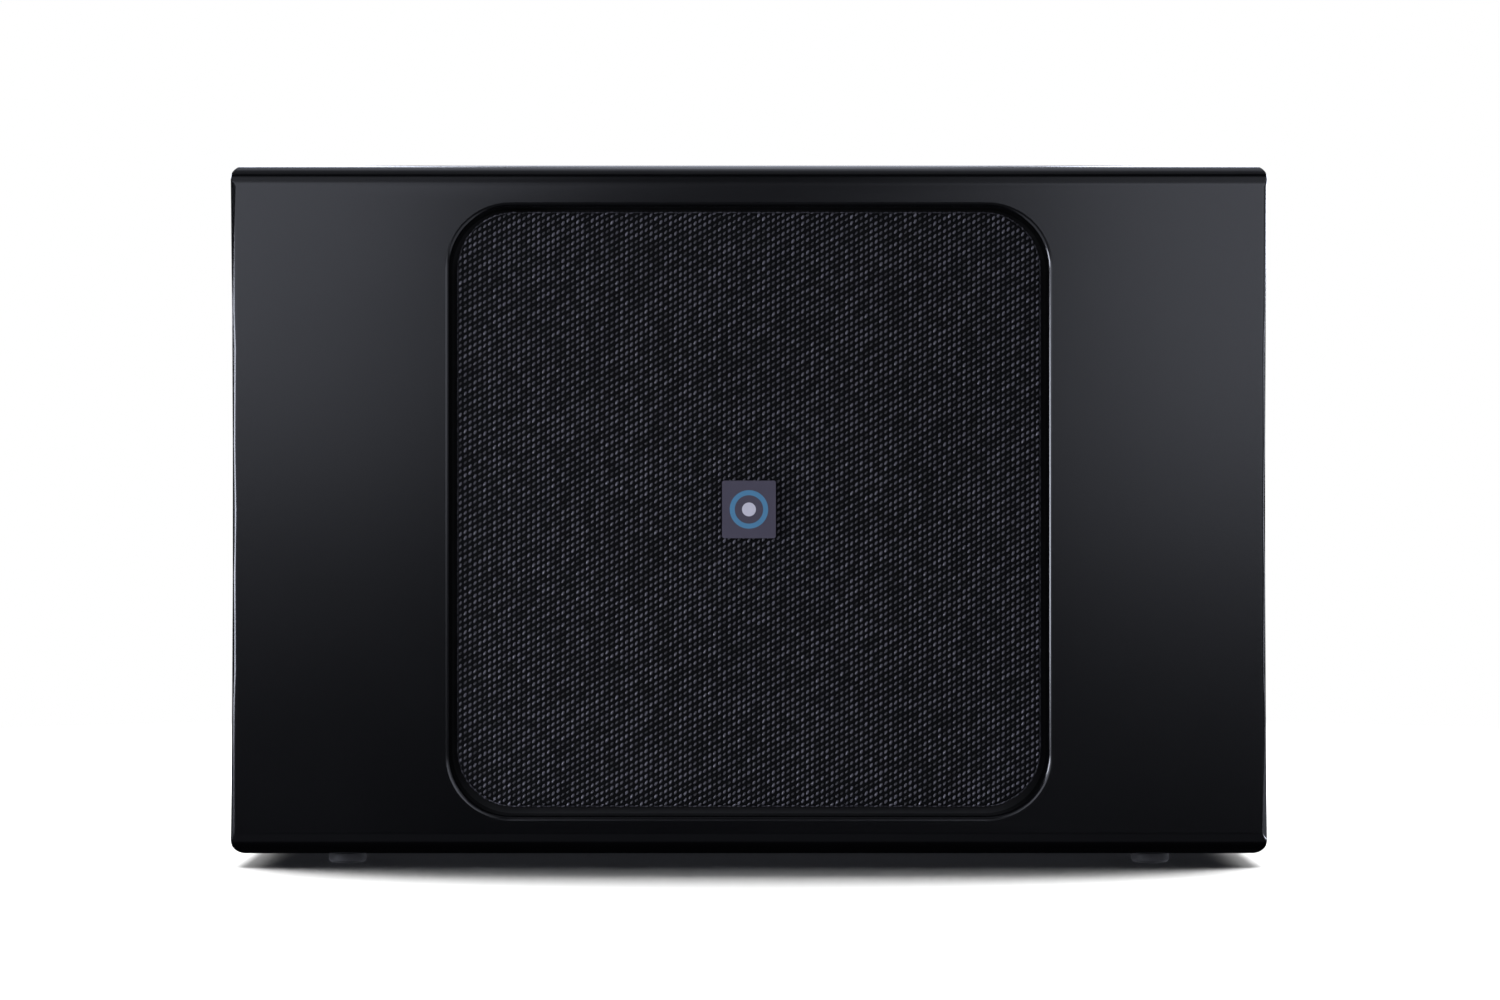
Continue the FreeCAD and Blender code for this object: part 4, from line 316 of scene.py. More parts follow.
copper_braid = brushed("copper_braid", (0.8, 0.4, 0.2), 0.35, (3000, 3000, 3000), 0.0001)
paint(brushed("copper_wire", (0.78, 0.33, 0.14), 0.28, (0, 6000, 0), 0.0001), "voice_coil")


def casting():
    """The basket: cast aluminium under a thick textured powder coat."""
    made = Finish("powder_coat", Roughness=0.5)
    where = made.place()
    pebble = made.add("ShaderNodeTexVoronoi", {"feature": "SMOOTH_F1"}, Vector=where, Scale=700.0)
    made.set(Base_Color=made.blend(made.noise(where, 60.0), (0.012, 0.012, 0.013), (0.022, 0.022, 0.024)))
    return made.bump(pebble, 0.00015)


paint(casting(), "driver_basket")


def ferrite():
    """A pressed ceramic magnet: dull grey with darker pores."""
    made = Finish("ferrite", Roughness=0.7)
    speck = made.noise(made.place(), 1400.0, 3.0, 0.7)
    made.set(Base_Color=made.blend(speck, (0.02, 0.02, 0.022), (0.085, 0.083, 0.08)))
    return made.bump(speck, 0.00008)


paint(ferrite(), "ring_magnet")
print("metals painted")

# %% [markdown]
# ## Electronics
# The boards carry copper tracks under a green mask: a brick pattern with thin mortar reads as
# tracks. The transformer's core is a stack of steel sheets, and a sine along X draws their edges.

# %% Boards and transformer
SHEET_PITCH = 0.7 * MM


def circuit_board():
    """Green solder mask with a pattern of tracks under it."""
    made = Finish("circuit_board", Roughness=0.38)
    where = made.place(1.0, (math.radians(90), 0, 0))
    tracks = made.add(
        "ShaderNodeTexBrick", {"offset": 0.3}, Vector=where, Scale=160.0, Mortar_Size=0.05, output="Fac"
    )
    made.set(Base_Color=made.blend(tracks, (0.008, 0.07, 0.028), (0.02, 0.15, 0.06)))
    return made.bump(tracks, 0.00006)


paint(circuit_board(), "main_board", "control_board")


def laminations():
    """A stack of thin steel sheets, seen as fine lines across the core."""
    made = Finish("laminated_core", Metallic=0.7, Roughness=0.45)
    across = made.axes(made.place())[0]
    edges = (across * (2 * math.pi / SHEET_PITCH)).sine() * 0.5 + 0.5
    made.set(Base_Color=made.blend(edges, (0.05, 0.045, 0.04), (0.17, 0.16, 0.15)))
    return made.bump(edges, 0.00008)


paint(laminations(), "transformer")
print("boards and transformer painted")

# %% [markdown]
# The capacitors have a pale stripe down one side, and the two line inputs are told apart by colour.
# Both are a comparison: the distance from the pair's middle along X is above a limit or not.

# %% Capacitors, inputs and speaker leads
STRIPE_EDGE = 8.5 * MM


def capacitor_sleeve():
    """Shrunk plastic film, dark blue with a pale stripe past the stripe's edge."""
    made = Finish("capacitor_sleeve", Roughness=0.25)
    low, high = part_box("filter_capacitors")
    across = made.axes(made.place(1.0, (0, 0, 0), ((low.x + high.x) / 2, 0, 0)))[0]
    stripe = across.above(STRIPE_EDGE)
    made.set(Base_Color=made.blend(stripe, (0.012, 0.014, 0.05), (0.5, 0.52, 0.56)))
    return made.bump(made.noise(made.place(), 300.0), 0.00002)


paint(capacitor_sleeve(), "filter_capacitors")


def line_inserts():
    """Two line inputs: the right channel is red and the left one white."""
    made = Finish("line_input_inserts", Roughness=0.4)
    low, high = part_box("line_input_inserts")
    side = made.axes(made.place(1.0, (0, 0, 0), ((low.x + high.x) / 2, 0, 0)))[0].above(0.0)
    made.set(Base_Color=made.blend(side, (0.42, 0.012, 0.012), (0.7, 0.7, 0.68)))
    return made.bump(made.noise(made.place(), 1800.0), 0.00002)


paint(line_inserts(), "line_input_inserts")


def lead_sleeve():
    """Soft red vinyl on the two speaker leads."""
    made = Finish("lead_sleeve", Roughness=0.45)
    where = made.place()
    cloud = made.noise(where, 500.0)
    made.set(Base_Color=made.blend(cloud, (0.2, 0.01, 0.01), (0.3, 0.02, 0.02)))
    return made.bump(cloud, 0.00003)


paint(lead_sleeve(), "speaker_leads")
print("capacitors, inputs and leads painted")

# %% [markdown]
# The status light is a clear lens with a faint glow of its own. The wadding that damps the box is
# fluffy polyester, and a noise that is longer along two axes than the third reads as its fibres.

# %% Status light and wadding
def status_lens():
    """A clear lens over a small pale light."""
    made = Finish("status_lens", Roughness=0.15, IOR=1.49)
    glow = made.noise(made.place(), 900.0)
    made.set(Base_Color=made.blend(glow, (0.5, 0.6, 0.68), (0.75, 0.82, 0.86)))
    made.set(Emission_Color=made.blend(glow, (0.2, 0.5, 0.8), (0.3, 0.6, 0.9)), Emission_Strength=0.25)
    return made


paint(status_lens(), "status_led")


def wadding():
    """Fluffy polyester that fills the corners: coarse pale fibres."""
    made = Finish("polyester_wadding", Roughness=0.95)
    fibre = made.noise(made.place((260, 700, 260)), 1.0, 5.0, 0.8)
    made.set(Base_Color=made.blend(fibre, (0.55, 0.55, 0.53), (0.85, 0.85, 0.83)))
    return made.bump(fibre, 0.002)


paint(wadding(), "wadding_pads")
print("light and wadding painted")

# %% [markdown]
# ## From shape to object
# A CAD piece arrives as loose triangles, so a copy of it has its seams joined before it can bend.

# %% Mesh helpers
def placed(name, mesh):
    """Puts a mesh into the scene, as an object at the origin."""
    made = bpy.data.objects.new(name, mesh)
    bpy.context.scene.collection.objects.link(made)
    return made


def closed_mesh(name, shape):
    """Ends a bmesh: its faces are turned outwards and it becomes a mesh."""
    bmesh.ops.recalc_face_normals(shape, faces=shape.faces)
    mesh = bpy.data.meshes.new(name)
    shape.to_mesh(mesh)
    shape.free()
    return mesh


def smoothed(mesh):
    """Shades every face as part of one smooth surface."""
    for polygon in mesh.polygons:
        polygon.use_smooth = True
    return mesh


def settled(made):
    """Turns an object's modifiers into plain faces."""
    bpy.context.view_layer.update()
    evaluated = made.evaluated_get(bpy.context.evaluated_depsgraph_get())
    mesh = bpy.data.meshes.new_from_object(evaluated)
    made.modifiers.clear()
    made.data = mesh
    return made


def welded_copy(node, finish):
    """Copies a CAD piece with its seams joined, to stand in its place."""
    mesh = nodes[node].data.copy()
    made = placed(node + "_skin", mesh)
    shape = bmesh.new()
    shape.from_mesh(mesh)
    bmesh.ops.remove_doubles(shape, verts=shape.verts, dist=1e-6)
    shape.to_mesh(mesh)
    shape.free()
    mesh.materials.clear()
    mesh.materials.append(finish.material)
    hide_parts(node)
    return made


# %% [markdown]
# ## The driver's moving parts
# The cone is pressed from a dark mineral-filled plastic with tiny mica flakes, the spider from
# cloth soaked in resin, and the surround from soft rubber. The surround and the spider bend: their
# outer edges stay with the basket and their inner edges go with the cone. A copy of each CAD ring
# takes its place, and its share of the cone's motion falls with the radius. The braided leads bend
# in the same way, from the basket's terminals to the cone.

# %% Cone, spider, surround and leads
def mica_cone():
    """Dark plastic with small glinting flakes."""
    made = Finish("mica_cone", Roughness=0.45)
    where = made.place()
    flakes = made.add("ShaderNodeTexVoronoi", {}, Vector=where, Scale=900.0).clip()
    made.set(Base_Color=made.blend(flakes, (0.03, 0.03, 0.033), (0.009, 0.009, 0.01)))
    made.set(Roughness=flakes * 0.35 + 0.25)
    return made.bump(made.noise(where, 500.0), 0.00006)


paint(mica_cone(), "cone", "dust_cap")
RESIN_WEAVE = 5200.0


def resin_cloth():
    """A fine square weave, stiff and amber."""
    made = Finish("resin_cloth", Roughness=0.7)
    x, _, z = made.axes(made.place())
    weave = (x * RESIN_WEAVE).sine() * (z * RESIN_WEAVE).sine()
    made.set(Base_Color=made.blend((weave * 0.5 + 0.5).clip(), (0.3, 0.17, 0.04), (0.5, 0.33, 0.11)))
    return made.bump(weave, 0.0001)


surround_rubber = moulded("surround_rubber", (0.011, 0.011, 0.012), 0.48, 2200.0, 0.00002)
yoke_low, yoke_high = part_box("pole_yoke")
axis_z = (yoke_low.z + yoke_high.z) / 2


def bending_ring(node, finish, inner_r, outer_r):
    """Lets a ring bend about the driver's axis: 0 is the basket's share and 1 is the cone's."""
    ring = welded_copy(node, finish)
    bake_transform(ring, "enclosure", "cone_assembly", start=(outer_r, 0, axis_z), end=(inner_r, 0, axis_z))
    shares = ring.data.attributes["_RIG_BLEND"].data
    for vertex, share in zip(ring.data.vertices, shares):
        radius = math.hypot(vertex.co.x, vertex.co.z - axis_z)
        t = min(1.0, max(0.0, (outer_r - radius) / (outer_r - inner_r)))
        share.value = t * t * (3 - 2 * t)
    return ring


SURROUND_INNER, SURROUND_OUTER = 0.0745, 0.0895
SPIDER_INNER, SPIDER_OUTER = 0.030, 0.057
surround = bending_ring("surround", surround_rubber, SURROUND_INNER, SURROUND_OUTER)
spider = bending_ring("spider", resin_cloth(), SPIDER_INNER, SPIDER_OUTER)
leads = welded_copy("tinsel_leads", copper_braid)
lead_low, lead_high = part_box("tinsel_leads")
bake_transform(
    leads, "enclosure", "cone_assembly",
    start=(lead_low.x, lead_high.y, axis_z), end=(lead_high.x, lead_low.y + 2 * MM, axis_z),
)
print("surround vertices:", len(surround.data.vertices), "spider vertices:", len(spider.data.vertices))

# %% [markdown]
# ## Even shading on the cabinet
# A large glossy face shows every fault of its shading. Here the cabinet's seams are joined, edges
# sharper than the crease angle stay crisp, and each corner's normal follows its largest face, so the
# flat faces stay flat right up to their rounded edges.

# %% Cabinet skin
CREASE = math.radians(35)


def evenly_shaded(node, finish, crease):
    """A welded copy whose flat faces stay flat right up to their rounded edges."""
    made = welded_copy(node, finish)
    mesh = smoothed(made.data)
    if "custom_normal" in mesh.attributes:
        mesh.attributes.remove(mesh.attributes["custom_normal"])
    mesh.set_sharp_from_angle(angle=crease)
    even = made.modifiers.new("even", "WEIGHTED_NORMAL")
    even.keep_sharp, even.weight = True, 100
    settled(made)
    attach(made, "enclosure")
    return made


cabinet_skin = evenly_shaded("cabinet", satin, CREASE)
print("cabinet faces:", len(cabinet_skin.data.polygons))

# %% [markdown]
# ## Grille cloth
# Acoustic cloth is a loose black knit stretched over the frame. Seen close, it is rows of short
# slanted yarn floats with dark gaps between them. The ground is one thin sheet that wraps over the
# frame's edge to its back. Both the sheet and the floats use the same rule to go round the edge: a
# point that lies past the flat face turns down over a small radius and then runs along the side.

# %% Cloth outline
cloth_low, cloth_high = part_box("grille_cloth")
CLOTH_W, CLOTH_H = cloth_high.x - cloth_low.x, cloth_high.z - cloth_low.z
CLOTH_T = cloth_high.y - cloth_low.y
CLOTH_CORNER = 29.5 * MM
EDGE_TURN = 1.6 * MM
LIP = 7 * MM
YARN_RISE = 0.35 * MM
CLOTH_WALL, BACK_TURN = 0.25 * MM, 0.8 * MM
cloth_centre = Vector(((cloth_low.x + cloth_high.x) / 2, cloth_low.y, (cloth_low.z + cloth_high.z) / 2))


def rounded_outline(inset, count_corner=14, count_side=10):
    """Points round the cloth's outline, drawn in by inset, as (x, z) from its centre."""
    half_w, half_h = CLOTH_W / 2 - CLOTH_CORNER, CLOTH_H / 2 - CLOTH_CORNER
    radius = CLOTH_CORNER - inset
    centres = [(half_w, half_h), (-half_w, half_h), (-half_w, -half_h), (half_w, -half_h)]
    points = []
    for quarter, (cx, cz) in enumerate(centres):
        for i in range(count_corner):
            angle = math.pi / 2 * (quarter + i / count_corner)
            points.append((cx + radius * math.cos(angle), cz + radius * math.sin(angle)))
        angle = math.pi / 2 * (quarter + 1)
        start = (cx + radius * math.cos(angle), cz + radius * math.sin(angle))
        nx, nz = centres[(quarter + 1) % 4]
        stop = (nx + radius * math.cos(angle), nz + radius * math.sin(angle))
        for i in range(count_side):
            share = i / count_side
            points.append((start[0] + (stop[0] - start[0]) * share, start[1] + (stop[1] - start[1]) * share))
    return points


print("cloth face:", round(CLOTH_W, 4), "x", round(CLOTH_H, 4), "m")

# %% [markdown]
# The sheet is a set of closed rings, each an outline at its own depth, joined by four-sided faces.
# Near the edge the rings stand closer, where the cloth turns. Solidify gives it its thickness.

# %% Cloth sheet
def cloth_rings():
    """Outlines and their depths: the face, over the edge, down the side and in behind the frame."""
    skin, back = YARN_RISE, CLOTH_T - YARN_RISE
    face = rounded_outline(EDGE_TURN)
    rings = [([(x * share, z * share) for x, z in face], skin) for share in (0.2, 0.4, 0.6, 0.8)]
    for i in range(7):
        turn = math.pi / 2 * i / 6
        inset = skin + (EDGE_TURN - skin) * (1 - math.sin(turn))
        depth = skin + (EDGE_TURN - skin) * (1 - math.cos(turn))
        rings.append((rounded_outline(inset), depth))
    for i in range(1, 5):
        rings.append((rounded_outline(skin), EDGE_TURN + (back - BACK_TURN - EDGE_TURN) * i / 4))
    for i in range(1, 4):
        turn = math.pi / 2 * i / 3
        inset = skin + BACK_TURN * (1 - math.cos(turn))
        rings.append((rounded_outline(inset), back - BACK_TURN * (1 - math.sin(turn))))
    rings.append((rounded_outline(skin + LIP), back))
    return rings


def cloth_sheet():
    """The rings joined from the middle outwards, with the cloth's thickness inside them."""
    shape = bmesh.new()
    loops = []
    for points, depth in cloth_rings():
        y = cloth_centre.y + depth
        loops.append([shape.verts.new((cloth_centre.x + x, y, cloth_centre.z + z)) for x, z in points])
    count = len(loops[0])
    for inner_loop, outer_loop in zip(loops, loops[1:]):
        for i in range(count):
            j = (i + 1) % count
            shape.faces.new((inner_loop[i], outer_loop[i], outer_loop[j], inner_loop[j]))
    middle = shape.verts.new((cloth_centre.x, cloth_centre.y + YARN_RISE, cloth_centre.z))
    for i in range(count):
        shape.faces.new((middle, loops[0][i], loops[0][(i + 1) % count]))
    made = placed("cloth_ground", smoothed(closed_mesh("cloth_ground", shape)))
    wall = made.modifiers.new("wall", "SOLIDIFY")
    wall.thickness, wall.offset = CLOTH_WALL, -1
    return settled(made)


cloth = cloth_sheet()
print("cloth ground faces:", len(cloth.data.polygons))

# %% [markdown]
# Between the floats the eye meets only dark yarn, so its weave is colour and relief, not geometry:
# two sines at right angles, turned to follow the slant of the floats.

# %% Ground yarn
WARP_PITCH, WEFT_PITCH = 1.1 * MM, 1.4 * MM


def ground_yarn():
    """The dark yarn between the floats: a slanted weave, nearly black."""
    made = Finish("ground_yarn", Roughness=0.9, Specular_IOR_Level=0.1)
    x, _, z = made.axes(made.place())
    warp = ((x * 0.55 + z * 0.84) * (2 * math.pi / WARP_PITCH)).sine()
    weft = ((x * 0.84 - z * 0.55) * (2 * math.pi / WEFT_PITCH)).sine()
    weave = (warp * weft) * 0.5 + 0.5
    made.set(Base_Color=made.blend(weave, (0.0006, 0.0006, 0.0007), (0.003, 0.003, 0.0034)))
    return made.bump(weave, 0.0002)


cloth.data.materials.append(ground_yarn().material)
print("ground material:", cloth.data.materials[0].name)

# %% [markdown]
# ## Yarn floats, with Geometry Nodes
# Twelve thousand floats follow one rule, so a node tree places them: a slanted lattice of points is
# laid over the cloth, the points outside it are dropped, the ones past the edge are turned down the
# side, and a small yarn is instanced on each with a little seeded disorder. Each float also keeps a
# random value, which its material reads as a paler colour and more gloss. The paler colour is a
# painted glint, standing for the way real yarn catches the light unevenly.

# %% One float of yarn
def yarn_float(length, width, thickness):
    """A closed spindle with three rings of four points, lying along X and proud along Z."""
    shape = bmesh.new()
    tips = [shape.verts.new((-length / 2, 0, 0)), shape.verts.new((length / 2, 0, 0))]
    rings = []
    for along, size in ((-0.27, 0.82), (0.0, 1.0), (0.27, 0.82)):
        corners = [(0, 1), (-1, 0), (0, -0.6), (1, 0)]
        ring = [(length * along, y * width / 2 * size, z * thickness * size) for y, z in corners]
        rings.append([shape.verts.new(p) for p in ring])
    for i in range(4):
        j = (i + 1) % 4
        shape.faces.new((tips[0], rings[0][j], rings[0][i]))
        shape.faces.new((tips[1], rings[2][i], rings[2][j]))
        for a, b in ((0, 1), (1, 2)):
            shape.faces.new((rings[a][i], rings[a][j], rings[b][j], rings[b][i]))
    return placed("yarn_float", smoothed(closed_mesh("yarn_float", shape)))


FLOAT_LENGTH, FLOAT_WIDTH, FLOAT_RISE = 2.75 * MM, 1.35 * MM, 0.42 * MM
COLUMN_PITCH, ROW_PITCH, COLUMN_STEP = 2.548 * MM, 3.271 * MM, 1.331 * MM
FLOAT_SLANT = math.radians(57)
float_yarn = yarn_float(FLOAT_LENGTH, FLOAT_WIDTH, FLOAT_RISE)
print("faces in one float:", len(float_yarn.data.polygons))


# %% [markdown]
# A Geometry Nodes tree is a graph too, so it shares the sums and the one way of adding nodes. What
# it adds is named inputs, which a modifier sets by their identifiers, and a way to run: the tree is
# evaluated on an empty mesh, its instances are made real, and the result is kept as plain faces.

# %% Geometry Nodes helper
class Tree(Graph):
    """A Geometry Nodes tree. given() adds a named input and returns it as a wire."""

    def __init__(self, name):
        self.tree = bpy.data.node_groups.new(name, "GeometryNodeTree")
        self.values = {}
        for way in ("INPUT", "OUTPUT"):
            self.tree.interface.new_socket("Geometry", in_out=way, socket_type="NodeSocketGeometry")

    def given(self, label, value):
        kind = "NodeSocketInt" if isinstance(value, int) else "NodeSocketFloat"
        socket = self.tree.interface.new_socket(label, in_out="INPUT", socket_type=kind)
        self.values[socket.identifier] = value
        return self.add("NodeGroupInput", {}, output=label)

    def point(self, x, y, z):
        return self.add("ShaderNodeCombineXYZ", {}, x, y, z)

    def vectors(self, operation, *values, **named):
        return self.add("ShaderNodeVectorMath", {"operation": operation}, *values, **named)

    def random(self, low, high, seed):
        kind = "FLOAT_VECTOR" if isinstance(low, tuple) else "FLOAT"
        return self.add("FunctionNodeRandomValue", {"data_type": kind}, Min=low, Max=high, Seed=seed)

    def run(self, name, geometry, material):
        """Ends the tree and returns its result as a plain mesh object."""
        solid = self.add("GeometryNodeRealizeInstances", {}, Geometry=geometry)
        dressed = self.add("GeometryNodeSetMaterial", {}, Geometry=solid, Material=material)
        self.feed(self.tree.nodes.new("NodeGroupOutput").inputs[0], dressed)
        carrier = placed(name, bpy.data.meshes.new(name))
        modifier = carrier.modifiers.new("tree", "NODES")
        modifier.node_group = self.tree
        for identifier, value in self.values.items():
            modifier[identifier] = value
        return settled(carrier)


# %% [markdown]
# Polyester yarn is a twist of fine filaments. Stripes along each float stand for them, and the
# float's random value sets how glossy it is and how pale it is painted: the paleness is a painted glint.

# %% Yarn material
FILAMENT_PITCH = 0.42 * MM


def float_finish():
    """Black polyester: each float has its own gloss and a painted glint, a paler colour, with twisted
    filaments along it.
    """
    made = Finish("float_yarn", IOR=1.5)
    painted_glint = made.add("ShaderNodeAttribute", {"attribute_name": "yarn_shade"}, output="Fac")
    x, _, z = made.axes(made.place())
    twist = ((x * 0.92 - z * 0.38) * (2 * math.pi / FILAMENT_PITCH)).sine() * 0.5 + 0.5
    # painted glint: floats with a higher random value get a paler colour, standing for light caught by the
    # yarn
    made.set(Base_Color=made.blend(painted_glint, (0.016, 0.0155, 0.018), (0.1, 0.096, 0.112)))
    made.set(Roughness=0.55 - painted_glint * 0.25)
    return made.bump(twist, 0.00008)


float_material = float_finish()
print("yarn material:", float_material.material.name)

# %% [markdown]
# The lattice starts flat. Each point's index gives its column and row, and every column is lifted
# a little more than the last, wrapped at the row pitch, which slants the rows.

# %% Flat lattice
GROUND_WRAP = CLOTH_T + EDGE_TURN
COLUMNS = int((CLOTH_W + 2 * GROUND_WRAP) / COLUMN_PITCH) + 2
ROWS = int((CLOTH_H + 2 * GROUND_WRAP) / ROW_PITCH) + 2


def slanted_lattice(tree):
    """Loose points in rows and columns, with the x and z of each as if the cloth were flat."""
    across, up = tree.given("Column pitch", COLUMN_PITCH), tree.given("Row pitch", ROW_PITCH)
    grid = tree.add(
        "GeometryNodeMeshGrid", {}, Size_X=1.0, Size_Y=1.0, Vertices_X=COLUMNS, Vertices_Y=ROWS
    )
    index = tree.add("GeometryNodeInputIndex", {})
    column = (index / ROWS).floor()
    row = index - column * ROWS
    lift = column * tree.given("Column step", COLUMN_STEP)
    lift = lift - (lift / up).floor() * up
    return grid, (column - (COLUMNS - 1) / 2) * across, (row - ROWS / 2) * up + lift


print("lattice:", COLUMNS, "columns and", ROWS, "rows")


# %% [markdown]
# A place past the flat face is measured from the outline's core, a rectangle smaller by the corner
# radius. That distance is spent first on the turn over the edge and then on the way down the side.

# %% Over the edge
def over_the_edge(tree, x, z, height):
    """Takes flat places round the cloth's edge: gives the place, the way it faces and its depth."""
    corner, bend = tree.given("Corner", CLOTH_CORNER), tree.given("Edge turn", EDGE_TURN)
    half_w = tree.given("Width", CLOTH_W) / 2.0 - corner
    half_h = height / 2.0 - corner
    core = tree.point(x.least(half_w).most(half_w * -1.0), z.least(half_h).most(half_h * -1.0), 0.0)
    away = tree.vectors("SUBTRACT", tree.point(x, z, 0.0), core)
    reach, outward = tree.vectors("LENGTH", away), tree.vectors("NORMALIZE", away)
    flat_reach = corner - bend
    past = (reach - flat_reach).most(0.0)
    turn = (past / bend).least(math.pi / 2)
    down = (past - bend * (math.pi / 2)).most(0.0)
    out = reach.least(flat_reach) + bend * turn.sine()
    depth = bend * (1.0 - turn.cosine()) + down
    across = tree.vectors("SCALE", Vector=outward, Scale=out)
    edge_x, edge_z, _ = tree.axes(tree.vectors("ADD", core, across))
    side_x, side_z, _ = tree.axes(outward)
    facing = tree.point(side_x * turn.sine(), turn.cosine() * -1.0, side_z * turn.sine())
    return tree.point(edge_x, depth + YARN_RISE, edge_z), facing, depth


# %% [markdown]
# Points that would lie behind the cloth's edge, or outside the band that is being made, are dropped.
# Dropping renumbers the rest, so the way each one faces is stored on the points first.

# %% Kept points
BARE_STRIP = 1.6 * MM


def kept_points(tree, low_share, high_share):
    """The points on the cloth between two shares of its height, and the way each one faces."""
    height = tree.given("Height", CLOTH_H)
    grid, x, z = slanted_lattice(tree)
    place, facing, depth = over_the_edge(tree, x, z, height)
    moved = tree.add(
        "GeometryNodeSetPosition", {}, Geometry=grid, Position=place, Offset=tuple(cloth_centre)
    )
    store = tree.add("GeometryNodeCaptureAttribute", {}, Geometry=moved).socket.node
    store.capture_items.new("VECTOR", "Facing")
    tree.feed(store.inputs["Facing"], facing)
    hidden = depth.above(tree.given("Depth", CLOTH_T) - BARE_STRIP)
    outside = z.below(height * low_share) + z.above(height * high_share)
    kept = tree.add(
        "GeometryNodeDeleteGeometry", {},
        Geometry=Wire(tree, store.outputs["Geometry"]), Selection=(hidden + outside).above(0.5),
    )
    return kept, Wire(tree, store.outputs["Facing"])


# %% [markdown]
# One float is instanced on each kept point. It faces out from the cloth and lies along the slant,
# and seeded random numbers tilt it, turn it and size it a little, because knitted yarn is never
# quite even. The cloth is laid in two bands, so that each stays a light mesh.

# %% Laying the floats
STRAY = 0.10
SMALLEST, LARGEST = 0.9, 1.08
SEED = 3


def lay_floats(name, low_share, high_share):
    """Instances a float on every kept point, turned along the slant and out from the cloth."""
    tree = Tree("float_lattice")
    slant, seed = tree.given("Slant", FLOAT_SLANT), tree.given("Seed", SEED)
    points, facing = kept_points(tree, low_share, high_share)
    normal = tree.vectors("ADD", facing, tree.random((-STRAY,) * 3, (STRAY,) * 3, seed))
    slant = slant + tree.random(-STRAY, STRAY, seed)
    along = tree.point(slant.cosine(), 0.0, slant.sine())
    axes = {"primary_axis": "Z", "secondary_axis": "X"}
    turned = tree.add("FunctionNodeAxesToRotation", axes, Primary_Axis=normal, Secondary_Axis=along)
    yarn = tree.add("GeometryNodeObjectInfo", {}, Object=float_yarn, output="Geometry")
    laid = tree.add(
        "GeometryNodeInstanceOnPoints", {},
        Points=points, Instance=yarn, Rotation=turned, Scale=tree.random(SMALLEST, LARGEST, seed),
    )
    # each float's random value, read by its material for the painted glint and the gloss
    kept = tree.add(
        "GeometryNodeStoreNamedAttribute", {"data_type": "FLOAT", "domain": "INSTANCE"},
        Geometry=laid, Name="yarn_shade", Value=tree.random(0.0, 1.0, seed),
    )
    made = tree.run(name, kept, float_material.material)
    print(name, "faces:", len(made.data.polygons))
    return made


float_bands = [lay_floats("yarn_floats_low", -1.0, 0.0), lay_floats("yarn_floats_high", 0.0, 1.0)]
bpy.data.objects.remove(float_yarn)
for band in float_bands:
    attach(band, "grille")
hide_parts("grille_cloth")
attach(cloth, "grille")

# %% [markdown]
# ## Badge
# A small metal plate with enamel let into it sits on the cloth. The plate is brushed upright, and
# the enamel is glossy under a thin clear coat. The mark is a plain ring and dot.

# %% Badge
def enamel(name, colour):
    """Coloured glass paste under a thin clear coat."""
    made = Finish(name, Roughness=0.3, Coat_Weight=0.6, Coat_Roughness=0.1)
    cloud = made.noise(made.place(), 260.0, 3.0)
    made.set(Base_Color=made.blend(cloud, tuple(c * 0.85 for c in colour), colour))
    return made.bump(cloud, 0.00002)


paint(brushed("badge_metal", (0.11, 0.1, 0.13), 0.5, (5000, 5000, 120)), "badge_plate")
paint(enamel("badge_blue", (0.07, 0.22, 0.36)), "badge_ring")
paint(enamel("badge_pale", (0.6, 0.58, 0.64)), "badge_dot")
print("badge painted")

# %% [markdown]
# ## Printing on the amplifier plate
# A plain scale helps to set each knob, and thin outlines group the sockets. There is no lettering.
# The ink is a film a few hundredths of a millimetre thick that lies on the plate's outer face.

# %% Ink
INK = 0.05 * MM
plate_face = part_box("amp_plate")[1].y


def plate_ink():
    """Screen-printed ink, a little uneven in tone."""
    made = Finish("plate_ink", Roughness=0.55)
    cloud = made.noise(made.place(), 700.0, 3.0)
    made.set(Base_Color=made.blend(cloud, (0.42, 0.43, 0.45), (0.6, 0.61, 0.63)))
    return made.bump(cloud, 0.00001)


ink = plate_ink()
print("plate face at y =", round(plate_face, 4))

# %% [markdown]
# The marks of a scale repeat, so a small node tree makes them: a row of points is bent round the
# knob, and a flat mark is instanced on each, turned to point at the middle.

# %% Dial scales
MARKS, MARK_SWEEP = 11, math.radians(280)
MARK_LENGTH, MARK_WIDTH, MARK_RING = 1.7 * MM, 0.4 * MM, 10.8 * MM


def dial_scale(name, knob):
    """Marks round a knob, evenly spaced over its turn."""
    low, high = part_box(knob)
    middle = ((low.x + high.x) / 2, plate_face + INK / 2, (low.z + high.z) / 2)
    tree = Tree(name)
    marks, ring = tree.given("Marks", MARKS), tree.given("Ring", MARK_RING)
    row = tree.add("GeometryNodeMeshLine", {"mode": "OFFSET"}, Count=marks)
    share = tree.add("GeometryNodeInputIndex", {}) / (marks - 1.0)
    angle = (share - 0.5) * tree.given("Sweep", MARK_SWEEP)
    place = tree.point(ring * angle.sine(), 0.0, ring * angle.cosine())
    bent = tree.add("GeometryNodeSetPosition", {}, Geometry=row, Position=place, Offset=middle)
    sides = (("Mark width", MARK_WIDTH), ("Ink", INK), ("Mark length", MARK_LENGTH))
    size = tree.point(*(tree.given(label, value) for label, value in sides))
    mark = tree.add("GeometryNodeMeshCube", {}, Size=size)
    turn = tree.add("FunctionNodeAxisAngleToRotation", {}, Axis=(0, 1, 0), Angle=angle)
    laid = tree.add("GeometryNodeInstanceOnPoints", {}, Points=bent, Instance=mark, Rotation=turn)
    return tree.run(name, laid, ink.material)


# %% [markdown]
# An outline has four loops: the outer and inner edge on the plate, and the same two on top of the
# ink. It takes its size from the pieces inside it, so it follows them if they move.

# %% Outlines
LINE = 0.35 * MM


